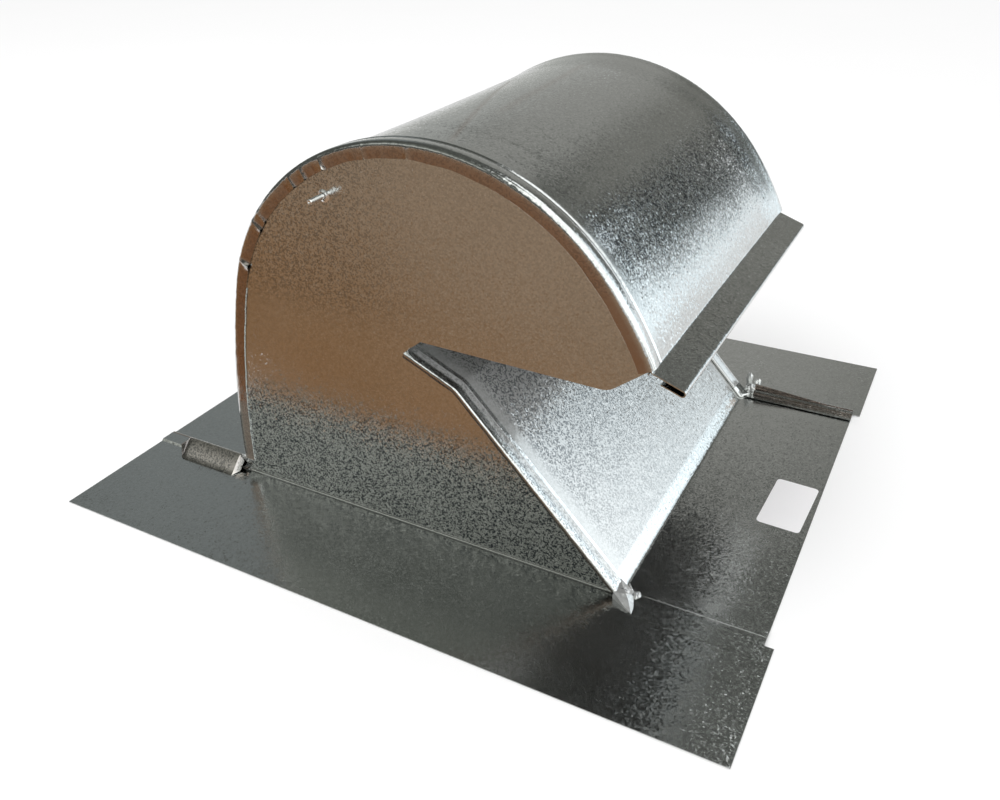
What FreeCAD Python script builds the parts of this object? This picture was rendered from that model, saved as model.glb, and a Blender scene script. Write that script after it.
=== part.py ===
"""Galvanised gooseneck roof vent with a gravity damper and a bird screen.

Units are millimetres and +Z is up. The origin is the centre of the base on the roof. +X is the front,
the way the mouth faces, and +Y is the far side. Every sheet is one thickness. A sheet's course is its
inner face in the side view, and an offset is measured outward from that face.
"""

import FreeCAD, Part
import math
import os
from FreeCAD import Vector

# Sheet and folds
SHEET = 0.55
FOLD_GAP = 0.1
LOCK_CLEARANCE = 0.1
FOOT_RADIUS = 4.0
BEND_RADIUS = 1.0

# Base
BODY_WIDTH = 254.0
SIDE_FLANGE = 82.5
BACK_FLANGE = 82.0
FRONT_FLANGE = 81.0
BODY_DEPTH = 272.0
FLANGE_OVERHANG = 5.0

# Hood, followed up the back wall, over the crown and down the brow to the lip
WALL_LEAN = 3.0
WALL_STRAIGHT = 27.5
SHOULDER_RADIUS = 494.0
SHOULDER_TURN = 13.5
CROWN_RADIUS = 134.0
CROWN_TURN = 127.5
BROW_RADIUS = 217.0
BROW_TURN = 11.4
BROW_BARE_END = 0.6
LIP_DROOP = 20.0
LIP_WIDTH = 17.3
LIP_BEND = 2.0
LIP_HEM_GAP = 2.6
LIP_HEM_RETURN = 11.0

# Throat, followed back and up from the front flange to the damper seat
THROAT_ANGLE = 46.8
THROAT_RISE = 108.0
THROAT_BEND_RADIUS = 8.0
UPPER_ANGLE = 25.0
UPPER_LENGTH = 35.0
SEAT_ROOT = 3.0
SEAT_BEND = 3.0
SEAT_HEIGHT = 13.0
SEAT_HEM_GAP = 2.2
SEAT_HEM_RETURN = 9.0

# Locks that join the sheets along every edge
POCKET_DEPTH = 10.5
TONGUE_LENGTH = 9.0
HAMMERED_EDGE = 6.0
APRON_WIDTH = 10.0
APRON_SETBACK = 8.0
LOCK_RELIEF = 7.0
CRIMP_COUNT = 8
CRIMP_WIDTH = 1.2
CRIMP_DEPTH = 4.0
CRIMP_FIRST = 7.0
CRIMP_LAST = 75.0

# Side panel edge round the mouth
MOUTH_EDGE_REAR = 132.0
MOUTH_EDGE_FRONT = 129.5
MOUTH_EDGE_START = 9.0
MOUTH_CORNER_SETBACK = 21.0
MOUTH_CORNER_RADIUS = 12.0

# Damper
ROD_DIAMETER = 3.2
ROD_INSET = 17.5
ROD_BEARING = 61.4
ROD_OVERHANG = 12.0
ROD_CHAMFER = 0.4
ROD_RUNNING_CLEARANCE = 0.08
STRAP_CLEARANCE = 0.05
STRAP_WIDTH = 18.0
STRAP_COUNT = 3
STRAP_MARGIN = 34.0
FLAP_SIDE_CLEARANCE = 2.0
FLAP_CROWN_CLEARANCE = 1.8
FLAP_SEAT_CLEARANCE = 0.3
FLAP_SEAT_OVERLAP = 7.0
FLAP_HEM = 8.0

# Bird screen
WIRE = 0.9
MESH_PITCH = 12.7
SCREEN_SIDE_CLEARANCE = 1.5
SCREEN_GRIP = 7.0
SCREEN_SEAT_DROP = 3.0
SCREEN_LIP_START = 1.5
SCREEN_END_MARGIN = 2.5

# Worked out from the sizes above
HALF_WIDTH = BODY_WIDTH / 2
BASE_LENGTH = BACK_FLANGE + BODY_DEPTH + FRONT_FLANGE + FLANGE_OVERHANG
BACK_EDGE = -BASE_LENGTH / 2
WALL_CORNER = BACK_EDGE + BACK_FLANGE
THROAT_CORNER = WALL_CORNER + BODY_DEPTH
FRONT_EDGE = THROAT_CORNER + FRONT_FLANGE
SHEET_EDGE = HALF_WIDTH - SHEET - LOCK_CLEARANCE
MIDDLE_TOP = 2 * SHEET + FOLD_GAP
TONGUE_UNDER = MIDDLE_TOP + LOCK_CLEARANCE
TONGUE_TOP = TONGUE_UNDER + SHEET
COVER_UNDER = TONGUE_TOP + LOCK_CLEARANCE
COVER_TOP = COVER_UNDER + SHEET
HALF_MITRE = math.tan(math.radians(22.5))
ROD_RADIUS = ROD_DIAMETER / 2


def setback(radius, turn):
    """Distance from a bend's tangent point to the corner that it rounds."""
    return radius * math.tan(math.radians(abs(turn)) / 2)


def unit(heading):
    """Direction in the side view, as x and z."""
    return Vector(math.cos(math.radians(heading)), 0, math.sin(math.radians(heading)))


class Leg:
    """One straight or evenly curved length of a course; a turn above zero is anticlockwise."""

    def __init__(self, start, heading, side, length=0.0, radius=0.0, turn=0.0):
        self.start = start
        self.heading = heading
        self.side = side
        self.length = length
        self.radius = radius
        self.turn = turn
        self.centre = start + unit(heading + math.copysign(90, turn)) * radius

    def point(self, share, offset=0.0):
        """Point at a share of the leg's length, moved outward by the offset."""
        heading = self.heading + self.turn * share
        outward = unit(heading + 90 * self.side)
        if self.turn:
            spoke = (self.start - self.centre)
            on_course = self.centre + turned(spoke, self.turn * share)
        else:
            on_course = self.start + unit(self.heading) * (self.length * share)
        return on_course + outward * offset

    def edge(self, offset):
        """The leg as one edge at the offset."""
        if self.turn:
            return Part.Arc(self.point(0, offset), self.point(0.5, offset), self.point(1, offset)).toShape()
        return Part.LineSegment(self.point(0, offset), self.point(1, offset)).toShape()

    def sweep(self, section):
        """Solid of a section, given as y and offset pairs, carried along the leg."""
        outward = unit(self.heading + 90 * self.side)
        corners = [self.start + outward * offset + Vector(0, y, 0) for y, offset in section]
        face = Part.Face(Part.makePolygon(corners + corners[:1]))
        if self.turn:
            return face.revolve(self.centre, Vector(0, -math.copysign(1, self.turn), 0), abs(self.turn))
        return face.extrude(unit(self.heading) * self.length)


class Course:
    """A chain of legs, each starting where the last one ends."""

    def __init__(self, x, z, heading, side):
        self.at = Vector(x, 0, z)
        self.heading = heading
        self.side = side
        self.legs = {}

    def straight(self, name, length):
        self.legs[name] = Leg(self.at, self.heading, self.side, length=length)
        self.at = self.legs[name].point(1)

    def curve(self, name, radius, turn):
        self.legs[name] = Leg(self.at, self.heading, self.side, radius=radius, turn=turn)
        self.at = self.legs[name].point(1)
        self.heading += turn

    def edges(self, names, offset):
        return [self.legs[name].edge(offset) for name in names]

    def band(self, names, inner, outer, y_from, y_to):
        """Solid strip between two offsets along the named legs."""
        first, last = self.legs[names[0]], self.legs[names[-1]]
        ends = [(first.point(0, inner), first.point(0, outer)), (last.point(1, inner), last.point(1, outer))]
        caps = [Part.LineSegment(a, b).toShape() for a, b in ends]
        edges = self.edges(names, inner) + self.edges(names, outer) + caps
        face = Part.Face(Part.Wire(Part.__sortEdges__(edges)))
        face.translate(Vector(0, y_from, 0))
        return face.extrude(Vector(0, y_to - y_from, 0))


def turned(vector, degrees):
    """A side-view vector turned anticlockwise as seen with x to the right and z up."""
    cosine, sine = math.cos(math.radians(degrees)), math.sin(math.radians(degrees))
    return Vector(vector.x * cosine - vector.z * sine, 0, vector.x * sine + vector.z * cosine)


def joined(shapes):
    """One clean solid from pieces that share faces or overlap."""
    whole = shapes[0].multiFuse(shapes[1:]).removeSplitter()
    return whole.Solids[0] if len(whole.Solids) == 1 else whole


def mirrored(shape):
    """The same shape on the other side of the vent."""
    return shape.mirror(Vector(0, 0, 0), Vector(0, 1, 0))


def box(x_from, x_to, y_from, y_to, z_from, z_to):
    return Part.makeBox(x_to - x_from, y_to - y_from, z_to - z_from, Vector(x_from, y_from, z_from))


def hood_course():
    """Back flange, back wall, shoulder, crown, brow and drip lip with its open hem."""
    foot_turn = 90 - WALL_LEAN
    foot = setback(FOOT_RADIUS, foot_turn)
    bare_turn = math.degrees(BROW_BARE_END / BROW_RADIUS)
    course = Course(BACK_EDGE, 0, 0, 1)
    course.straight("setback", APRON_SETBACK)
    course.straight("flange", BACK_FLANGE - APRON_SETBACK - foot - LOCK_RELIEF)
    course.straight("flange_relief", LOCK_RELIEF)
    course.curve("foot", FOOT_RADIUS, foot_turn)
    course.straight("wall_relief", LOCK_RELIEF)
    course.straight("wall", WALL_STRAIGHT - foot - LOCK_RELIEF)
    course.curve("shoulder", SHOULDER_RADIUS, -SHOULDER_TURN)
    course.curve("crown", CROWN_RADIUS, -CROWN_TURN)
    course.curve("brow", BROW_RADIUS, -(BROW_TURN - bare_turn))
    course.curve("brow_end", BROW_RADIUS, -bare_turn)
    lip_turn = -LIP_DROOP - course.heading
    lip_root = setback(LIP_BEND, lip_turn)
    course.curve("lip_bend", LIP_BEND, lip_turn)
    course.straight("lip", LIP_WIDTH - lip_root)
    course.curve("lip_hem", LIP_HEM_GAP / 2, -180)
    course.straight("lip_return", LIP_HEM_RETURN)
    return course


HOOD = hood_course()
CROWN_CENTRE = HOOD.legs["crown"].centre
ROD_CENTRE = CROWN_CENTRE + unit(180 - ROD_BEARING) * (CROWN_RADIUS - ROD_INSET)


def throat_start():
    """Front flange, sloped face and upper face of the throat, up to the corner under the damper seat."""
    foot = setback(FOOT_RADIUS, THROAT_ANGLE)
    knee_turn = THROAT_ANGLE - UPPER_ANGLE
    knee = setback(THROAT_BEND_RADIUS, knee_turn)
    slope_length = THROAT_RISE / math.sin(math.radians(THROAT_ANGLE))
    course = Course(FRONT_EDGE, 0, 180, -1)
    course.straight("flange", FRONT_FLANGE - foot - LOCK_RELIEF)
    course.straight("flange_relief", LOCK_RELIEF)
    course.curve("foot", FOOT_RADIUS, -THROAT_ANGLE)
    course.straight("slope_relief", LOCK_RELIEF)
    course.straight("slope", slope_length - foot - LOCK_RELIEF - knee)
    course.curve("knee", THROAT_BEND_RADIUS, knee_turn)
    course.straight("upper", UPPER_LENGTH - knee)
    return course


def seat_lean():
    """Lean of the closed flap from upright, so that it meets both the rod and the seat's hem."""
    start = throat_start()
    reach = start.at + unit(start.heading) * SEAT_ROOT - ROD_CENTRE
    hem_face = 2 * SHEET + SEAT_HEM_GAP + FLAP_SEAT_CLEARANCE
    step = hem_face - ROD_RADIUS - STRAP_CLEARANCE
    return math.degrees(math.atan2(reach.x, -reach.z) + math.asin(step / reach.Length))


def throat_course():
    """The whole throat sheet, ending in the leaning damper seat and its open hem."""
    course = throat_start()
    turn = 90 + FLAP_LEAN - course.heading
    root = setback(SEAT_BEND, turn)
    course.straight("seat_root", SEAT_ROOT - root)
    course.curve("seat_bend", SEAT_BEND, turn)
    course.straight("seat", SEAT_HEIGHT - root)
    course.curve("seat_hem", SEAT_HEM_GAP / 2 + SHEET, -180)
    course.straight("seat_return", SEAT_HEM_RETURN)
    return course


FLAP_LEAN = seat_lean()
THROAT = throat_course()


def both_sides(half):
    """Closed section from its half, given as width and offset pairs from the middle round to the middle."""
    return half + [(-y, offset) for y, offset in reversed(half)]


def plain_section(half_width):
    return both_sides([(half_width, 0), (half_width, SHEET)])


def lock_section(rim):
    """Sheet whose edge doubles back twice to make the pocket of the lock, then ends in the given rim."""
    root = SHEET_EDGE - POCKET_DEPTH
    inner_faces = [(SHEET_EDGE, 0), (SHEET_EDGE, MIDDLE_TOP), (root + SHEET, MIDDLE_TOP), (root + SHEET, COVER_UNDER)]
    outer_faces = [(root, COVER_TOP), (root, SHEET + FOLD_GAP), (SHEET_EDGE - SHEET, SHEET + FOLD_GAP)]
    return both_sides(inner_faces + rim + outer_faces + [(SHEET_EDGE - SHEET, SHEET)])


def bare_rim():
    """Lock cover cut off flush with the side panel, where the sheet turns a corner."""
    flush = HALF_WIDTH + LOCK_CLEARANCE
    return [(flush, COVER_UNDER), (flush, COVER_TOP)]


def hammered_rim():
    """Lock cover hammered down over the outer face of the side panel."""
    near, far = HALF_WIDTH + LOCK_CLEARANCE, HALF_WIDTH + LOCK_CLEARANCE + SHEET
    return [(near, COVER_UNDER), (near, -HAMMERED_EDGE), (far, -HAMMERED_EDGE), (far, COVER_TOP)]


def apron_rim():
    """Lock cover stepped down and left flat on the side flange."""
    step_under = HALF_WIDTH + (SHEET + LOCK_CLEARANCE) * HALF_MITRE
    step_top = step_under + SHEET * HALF_MITRE
    end = HALF_WIDTH + APRON_WIDTH
    under = [(step_under, COVER_UNDER), (step_under + TONGUE_UNDER, SHEET + LOCK_CLEARANCE)]
    top = [(step_top + TONGUE_UNDER, 2 * SHEET + LOCK_CLEARANCE), (step_top, COVER_TOP)]
    return under + [(end, SHEET + LOCK_CLEARANCE), (end, 2 * SHEET + LOCK_CLEARANCE)] + top


def crimp_cutters():
    """Nicks that let the hammered edge close round the tight back of the crown."""
    cutters = []
    crown = HOOD.legs["crown"]
    for index in range(CRIMP_COUNT):
        share = (CRIMP_FIRST + (CRIMP_LAST - CRIMP_FIRST) * index / (CRIMP_COUNT - 1)) / CROWN_TURN
        rim = crown.point(share, -HAMMERED_EDGE - LOCK_CLEARANCE)
        apex = crown.point(share, CRIMP_DEPTH - HAMMERED_EDGE)
        along = (rim - apex).cross(Vector(0, 1, 0)).normalize() * (CRIMP_WIDTH / 2)
        nick = Part.Face(Part.makePolygon([rim + along, rim - along, apex, rim + along]))
        nick.translate(Vector(0, -HALF_WIDTH - 2 * SHEET, 0))
        cutters.append(nick.extrude(Vector(0, BODY_WIDTH + 4 * SHEET, 0)))
    return cutters


def swept(course, section, names):
    return [course.legs[name].sweep(section) for name in names]


def side_cut(solid, cutters):
    """Cut the rims on both sides without touching the sheet between them."""
    kept = box(BACK_EDGE, FRONT_EDGE + LIP_WIDTH, -HALF_WIDTH, HALF_WIDTH, -SHEET, 3 * CROWN_RADIUS)
    return solid.cut([cutter.cut(kept) for cutter in cutters])


def make_hood_wrapper():
    """Back flange, back wall, hood and lip in one bent sheet, with a lock pocket along both edges."""
    pieces = swept(HOOD, lock_section(bare_rim()), ["setback", "flange_relief", "foot", "wall_relief"])
    pieces += swept(HOOD, lock_section(apron_rim()), ["flange"])
    pieces += swept(HOOD, lock_section(hammered_rim()), ["wall", "shoulder", "crown", "brow"])
    pieces += swept(HOOD, plain_section(HALF_WIDTH), ["brow_end", "lip_bend", "lip", "lip_hem", "lip_return"])
    return side_cut(joined(pieces), crimp_cutters())


def make_throat_panel():
    """Front flange, throat and damper seat in one bent sheet, with a lock pocket along both edges."""
    pieces = swept(THROAT, lock_section(apron_rim()), ["flange"])
    pieces += swept(THROAT, lock_section(bare_rim()), ["flange_relief", "foot", "slope_relief"])
    pieces += swept(THROAT, lock_section(hammered_rim()), ["slope", "knee", "upper"])
    seat_legs = ["seat_root", "seat_bend", "seat", "seat_hem", "seat_return"]
    pieces += swept(THROAT, plain_section(SHEET_EDGE), seat_legs)
    return joined(pieces)


HOOD_LOCKED = ["foot", "wall_relief", "wall", "shoulder", "crown", "brow"]
THROAT_LOCKED = ["foot", "slope_relief", "slope", "knee", "upper"]


def mouth_edge():
    """Edge of a side panel from the lip back to the throat, with its front corner rounded."""
    lip_top = HOOD.legs["brow"].point(1, TONGUE_TOP)
    lip_inside = HOOD.legs["brow"].point(1, 0)
    throat_top = THROAT.legs["upper"].point(1, TONGUE_TOP)
    throat_clear = THROAT.legs["upper"].point(1, COVER_TOP + LOCK_CLEARANCE)
    corner = Vector(lip_inside.x - MOUTH_CORNER_SETBACK, 0, MOUTH_EDGE_FRONT)
    rear = Vector(throat_top.x + MOUTH_EDGE_START, 0, MOUTH_EDGE_REAR)
    forward, back = (lip_inside - corner).normalize(), (rear - corner).normalize()
    half_angle = forward.getAngle(back) / 2
    reach = MOUTH_CORNER_RADIUS / math.tan(half_angle)
    centre = corner + (forward + back).normalize() * (MOUTH_CORNER_RADIUS / math.sin(half_angle))
    mid = centre + (corner - centre).normalize() * MOUTH_CORNER_RADIUS
    arc_from, arc_to = corner + forward * reach, corner + back * reach
    return [
        Part.LineSegment(lip_top, lip_inside).toShape(),
        Part.LineSegment(lip_inside, arc_from).toShape(),
        Part.Arc(arc_from, mid, arc_to).toShape(),
        Part.LineSegment(arc_to, rear).toShape(),
        Part.LineSegment(rear, throat_clear).toShape(),
        Part.LineSegment(throat_clear, throat_top).toShape(),
    ]


def wall_plate():
    """Flat wall of the near side panel, down to where it bends out into the flange."""
    bend_top = BEND_RADIUS + SHEET
    hood_foot = HOOD.legs["foot"].point(0, 0)
    throat_foot = THROAT.legs["foot"].point(0, 0)
    bottom = [Vector(hood_foot.x, 0, TONGUE_TOP), Vector(hood_foot.x, 0, 0)]
    bottom += [Vector(throat_foot.x, 0, 0), Vector(throat_foot.x, 0, TONGUE_TOP)]
    edges = HOOD.edges(HOOD_LOCKED, TONGUE_TOP) + mouth_edge() + THROAT.edges(THROAT_LOCKED, TONGUE_TOP)
    edges += [Part.LineSegment(a, b).toShape() for a, b in zip(bottom, bottom[1:])]
    face = Part.Face(Part.Wire(Part.__sortEdges__(edges)))
    face.translate(Vector(0, -HALF_WIDTH, 0))
    plate = face.extrude(Vector(0, SHEET, 0))
    below = box(BACK_EDGE, FRONT_EDGE, -HALF_WIDTH - SHEET, -HALF_WIDTH + 2 * SHEET, -SHEET, bend_top)
    return plate.cut(below)


def across(section, x_from, x_to):
    """Solid of a closed section, given as width and height pairs, on the near side."""
    corners = [Vector(x_from, -y, z) for y, z in section]
    return Part.Face(Part.makePolygon(corners + corners[:1])).extrude(Vector(x_to - x_from, 0, 0))


def flange_bend(x_from, x_to):
    """Rounded bend from the side wall out into the side flange."""
    outer = BEND_RADIUS + SHEET
    wall_in, wall_out, flat = HALF_WIDTH - SHEET, HALF_WIDTH, HALF_WIDTH + BEND_RADIUS
    away = math.sqrt(0.5)
    centre_y, centre_z = flat, outer

    def at(y, z):
        return Vector(x_from, -y, z)

    lower_mid = at(centre_y - outer * away, centre_z - outer * away)
    upper_mid = at(centre_y - BEND_RADIUS * away, centre_z - BEND_RADIUS * away)
    edges = [
        Part.Arc(at(wall_in, outer), lower_mid, at(flat, 0)).toShape(),
        Part.LineSegment(at(flat, 0), at(flat, SHEET)).toShape(),
        Part.Arc(at(flat, SHEET), upper_mid, at(wall_out, outer)).toShape(),
        Part.LineSegment(at(wall_out, outer), at(wall_in, outer)).toShape(),
    ]
    return Part.Face(Part.Wire(edges)).extrude(Vector(x_to - x_from, 0, 0))


def stepped_flange():
    """Side flange and the tongue that steps up from it into a lock on the base."""
    step = HALF_WIDTH + TONGUE_UNDER
    mitre = SHEET * HALF_MITRE
    end = HALF_WIDTH + SIDE_FLANGE
    tongue_end = HALF_WIDTH - TONGUE_LENGTH
    under = [(tongue_end, TONGUE_UNDER), (HALF_WIDTH, TONGUE_UNDER), (step, 0), (end, 0)]
    top = [(end, SHEET), (step + mitre, SHEET), (HALF_WIDTH + mitre, TONGUE_TOP), (tongue_end, TONGUE_TOP)]
    return under + top


def side_flange():
    """Flange of the near side panel along the whole base."""
    hood_foot = HOOD.legs["foot"].point(0, 0).x
    throat_foot = THROAT.legs["foot"].point(0, 0).x
    end = HALF_WIDTH + SIDE_FLANGE
    inner = HALF_WIDTH + BEND_RADIUS
    return [
        across(stepped_flange(), BACK_EDGE, hood_foot),
        flange_bend(hood_foot, throat_foot),
        box(hood_foot, throat_foot, -end, -inner, 0, SHEET),
        across(stepped_flange(), throat_foot, FRONT_EDGE),
        box(FRONT_EDGE, FRONT_EDGE + FLANGE_OVERHANG, -end, -HALF_WIDTH - TONGUE_UNDER, 0, SHEET),
    ]


def make_side_panel():
    """Near side panel: wall and flange in one sheet, with a turned edge in each lock and a rod hole."""
    tongue_end = HALF_WIDTH - TONGUE_LENGTH
    tongues = [
        HOOD.band(HOOD_LOCKED, TONGUE_UNDER, TONGUE_TOP, -HALF_WIDTH, -tongue_end),
        THROAT.band(THROAT_LOCKED, TONGUE_UNDER, TONGUE_TOP, -HALF_WIDTH, -tongue_end),
    ]
    panel = joined([wall_plate()] + tongues + side_flange())
    hole_radius = ROD_RADIUS + ROD_RUNNING_CLEARANCE
    start = ROD_CENTRE - Vector(0, HALF_WIDTH + SHEET, 0)
    return panel.cut(Part.makeCylinder(hole_radius, 3 * SHEET, start, Vector(0, 1, 0)))


def make_damper_rod():
    """Straight pivot rod with chamfered ends standing out past both side panels."""
    length = BODY_WIDTH + 2 * ROD_OVERHANG
    start = ROD_CENTRE - Vector(0, length / 2, 0)
    rod = Part.makeCylinder(ROD_RADIUS, length, start, Vector(0, 1, 0))
    rims = [edge for edge in rod.Edges if isinstance(edge.Curve, Part.Circle)]
    return rod.makeChamfer(ROD_CHAMFER, rims)


FLAP_DOWN = unit(FLAP_LEAN - 90)
FLAP_FRONT = unit(FLAP_LEAN)
FLAP_ROD_POINT = ROD_CENTRE + FLAP_FRONT * (ROD_RADIUS + STRAP_CLEARANCE)


def flap_point(down, front):
    """Point on the flap, from where the rod lies against it, down its face and out to its front."""
    return FLAP_ROD_POINT + FLAP_DOWN * down + FLAP_FRONT * front


def flap_top():
    """Distance above the rod to where the flap's front edge clears the crown."""
    limit = CROWN_RADIUS - FLAP_CROWN_CLEARANCE
    from_centre = flap_point(0, 2 * SHEET + FOLD_GAP) - CROWN_CENTRE
    along = from_centre.dot(FLAP_DOWN)
    return math.sqrt(along ** 2 - from_centre.Length ** 2 + limit ** 2) + along


def flap_bottom():
    """Distance below the rod to the flap's lower edge, lapped over the seat."""
    seat_top = THROAT.legs["seat"].point(1, 0)
    return (seat_top - FLAP_ROD_POINT).dot(FLAP_DOWN) + FLAP_SEAT_OVERLAP


def flap_slab(top, bottom, back, front, y_from, y_to):
    """Flat block on the flap, between two distances down it and two distances from its back face."""
    corners = [flap_point(top, back), flap_point(bottom, back), flap_point(bottom, front), flap_point(top, front)]
    for corner in corners:
        corner.y = y_from
    return Part.Face(Part.makePolygon(corners + corners[:1])).extrude(Vector(0, y_to - y_from, 0))


def strap(middle):
    """Strap pressed out of the flap and over the back of the rod."""
    inner = ROD_RADIUS + STRAP_CLEARANCE
    outer = inner + SHEET
    start = ROD_CENTRE + Vector(0, middle - STRAP_WIDTH / 2, 0)
    axis = Vector(0, 1, 0)
    ring = Part.makeCylinder(outer, STRAP_WIDTH, start, axis)
    legs = flap_slab(-outer, outer, -inner, SHEET, middle - STRAP_WIDTH / 2, middle + STRAP_WIDTH / 2)
    return ring.fuse(legs)


def strap_hollow(middle):
    """Room for the rod under a strap, open through the face of the flap."""
    inner = ROD_RADIUS + STRAP_CLEARANCE
    start = ROD_CENTRE + Vector(0, middle - STRAP_WIDTH / 2, 0)
    bore = Part.makeCylinder(inner, STRAP_WIDTH, start, Vector(0, 1, 0))
    window = flap_slab(-inner, inner, -inner, 2 * SHEET, middle - STRAP_WIDTH / 2, middle + STRAP_WIDTH / 2)
    return bore.fuse(window)


def make_damper_flap():
    """Flat flap with a closed hem along its top and bottom and straps that hold the rod."""
    half = HALF_WIDTH - SHEET - FLAP_SIDE_CLEARANCE
    top, bottom = -flap_top(), flap_bottom()
    hem_back, hem_front = SHEET + FOLD_GAP, 2 * SHEET + FOLD_GAP
    pieces = [
        flap_slab(top, bottom, 0, SHEET, -half, half),
        flap_slab(top, top + SHEET, 0, hem_front, -half, half),
        flap_slab(top, top + FLAP_HEM, hem_back, hem_front, -half, half),
        flap_slab(bottom - SHEET, bottom, 0, hem_front, -half, half),
        flap_slab(bottom - FLAP_HEM, bottom, hem_back, hem_front, -half, half),
    ]
    reach = half - STRAP_MARGIN
    middles = [-reach + 2 * reach * index / (STRAP_COUNT - 1) for index in range(STRAP_COUNT)]
    blank = joined(pieces + [strap(middle) for middle in middles])
    return blank.cut([strap_hollow(middle) for middle in middles])


def screen_line():
    """Corners of a lengthwise wire's middle line: seat hem, seat corner, lip root and lip hem."""
    layer = WIRE / 2
    seat_middle = SHEET + SEAT_HEM_GAP / 2 - layer
    lip_middle = -LIP_HEM_GAP / 2 - layer
    seat, lip = THROAT.legs["seat"], HOOD.legs["lip"]
    seat_down = unit(seat.heading + 180)
    seat_corner = seat.point(0, seat_middle) - seat_down * SCREEN_SEAT_DROP
    lip_root = lip.point(SCREEN_LIP_START / lip.length, lip_middle)
    return [
        seat_corner - seat_down * SCREEN_GRIP,
        seat_corner,
        lip_root,
        lip_root + unit(-LIP_DROOP) * (SCREEN_GRIP + WIRE),
    ]


def wire_along(line, y):
    """One lengthwise wire, bent with mitred corners."""
    half = WIRE / 2
    sides = []
    for side in (1, -1):
        rail = []
        for index, corner in enumerate(line):
            before = (corner - line[index - 1]).normalize() if index else None
            after = (line[index + 1] - corner).normalize() if index + 1 < len(line) else None
            runs = [run for run in (before, after) if run]
            normals = [Vector(-run.z, 0, run.x) for run in runs]
            total = normals[0] + normals[-1]
            mitre = total.normalize() * (half / math.cos(normals[0].getAngle(normals[-1]) / 2))
            rail.append(corner + mitre * side + Vector(0, y - half, 0))
        sides.append(rail)
    corners = sides[0] + sides[1][::-1]
    return Part.Face(Part.makePolygon(corners + corners[:1])).extrude(Vector(0, WIRE, 0))


def wire_across(at, run, half_span):
    """One crosswise wire, welded on the upper face of the lengthwise wires."""
    normal = Vector(-run.z, 0, run.x)
    middle = at + normal * WIRE
    corners = []
    for along, up in ((-1, -1), (1, -1), (1, 1), (-1, 1)):
        corner = middle + run * (along * WIRE / 2) + normal * (up * WIRE / 2)
        corners.append(corner - Vector(0, half_span, 0))
    return Part.Face(Part.makePolygon(corners + corners[:1])).extrude(Vector(0, 2 * half_span, 0))


def make_bird_screen():
    """Welded wire cloth, bent up into the seat's hem at the back and down into the lip's hem in front."""
    line = screen_line()
    half_span = HALF_WIDTH - SHEET - SCREEN_SIDE_CLEARANCE
    rows = int((2 * half_span - WIRE) / MESH_PITCH)
    wires = [wire_along(line, (index - rows / 2) * MESH_PITCH) for index in range(rows + 1)]
    for index, (start, end) in enumerate(zip(line, line[1:])):
        run = (end - start).normalize()
        length = (end - start).Length
        if index == 1:
            count = int((length - 2 * SCREEN_END_MARGIN) / MESH_PITCH)
            first = (length - count * MESH_PITCH) / 2
            places = [first + step * MESH_PITCH for step in range(count + 1)]
        else:
            places = [SCREEN_END_MARGIN if index == 0 else length - SCREEN_END_MARGIN]
        wires += [wire_across(start + run * place, run, half_span) for place in places]
    return joined(wires)


def main():
    side_panel_near = make_side_panel()
    nodes = {
        "side_panel_near": side_panel_near,
        "side_panel_far": mirrored(side_panel_near),
        "hood_wrapper": make_hood_wrapper(),
        "throat_panel": make_throat_panel(),
        "damper_rod": make_damper_rod(),
        "damper_flap": make_damper_flap(),
        "bird_screen": make_bird_screen(),
    }
    os.makedirs("parts", exist_ok=True)
    for name, shape in nodes.items():
        shape.exportStep(f"parts/{name}.step")
        size = shape.BoundBox
        print(name, len(shape.Solids), shape.isValid(), round(shape.Volume, 1),
              [round(value, 1) for value in (size.XMin, size.YMin, size.ZMin, size.XMax, size.YMax, size.ZMax)])
    print("rod centre", round(ROD_CENTRE.x, 2), round(ROD_CENTRE.z, 2), "flap lean", round(FLAP_LEAN, 2))
    print("crown centre", round(CROWN_CENTRE.x, 2), round(CROWN_CENTRE.z, 2))


main()
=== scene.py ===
"""Looks of a galvanised gooseneck roof vent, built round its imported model.

Units are metres, +Z is up, +X is the way the mouth faces and +Y is the far side.
"""

import math
from typing import NamedTuple

import bmesh
import bpy
from bpy.props import FloatProperty, FloatVectorProperty, IntProperty, PointerProperty
from bpy.types import Operator, Panel, PropertyGroup
from mathutils import Matrix, Vector, noise


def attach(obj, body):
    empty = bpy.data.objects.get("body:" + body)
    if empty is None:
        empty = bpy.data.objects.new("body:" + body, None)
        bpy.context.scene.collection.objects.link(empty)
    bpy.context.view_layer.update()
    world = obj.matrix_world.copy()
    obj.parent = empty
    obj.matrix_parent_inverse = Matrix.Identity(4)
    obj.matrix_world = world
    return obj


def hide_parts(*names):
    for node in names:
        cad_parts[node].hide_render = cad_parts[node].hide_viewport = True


bl_info = {
    "name": "Gooseneck Roof Vent",
    "version": (1, 0, 0),
    "blender": (4, 5, 0),
    "location": "3D View > Sidebar > Roof Vent",
    "description": "Builds the finishes, fine pieces and studio of a gooseneck roof vent",
    "category": "Object",
}

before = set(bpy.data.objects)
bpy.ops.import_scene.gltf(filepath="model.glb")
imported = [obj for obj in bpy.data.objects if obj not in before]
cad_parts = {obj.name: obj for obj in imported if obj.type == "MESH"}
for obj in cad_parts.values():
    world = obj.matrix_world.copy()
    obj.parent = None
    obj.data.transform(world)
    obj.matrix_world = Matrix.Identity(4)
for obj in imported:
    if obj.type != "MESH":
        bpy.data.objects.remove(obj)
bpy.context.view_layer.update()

SHEET_NODES = ("side_panel_near", "side_panel_far", "damper_flap")


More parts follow.
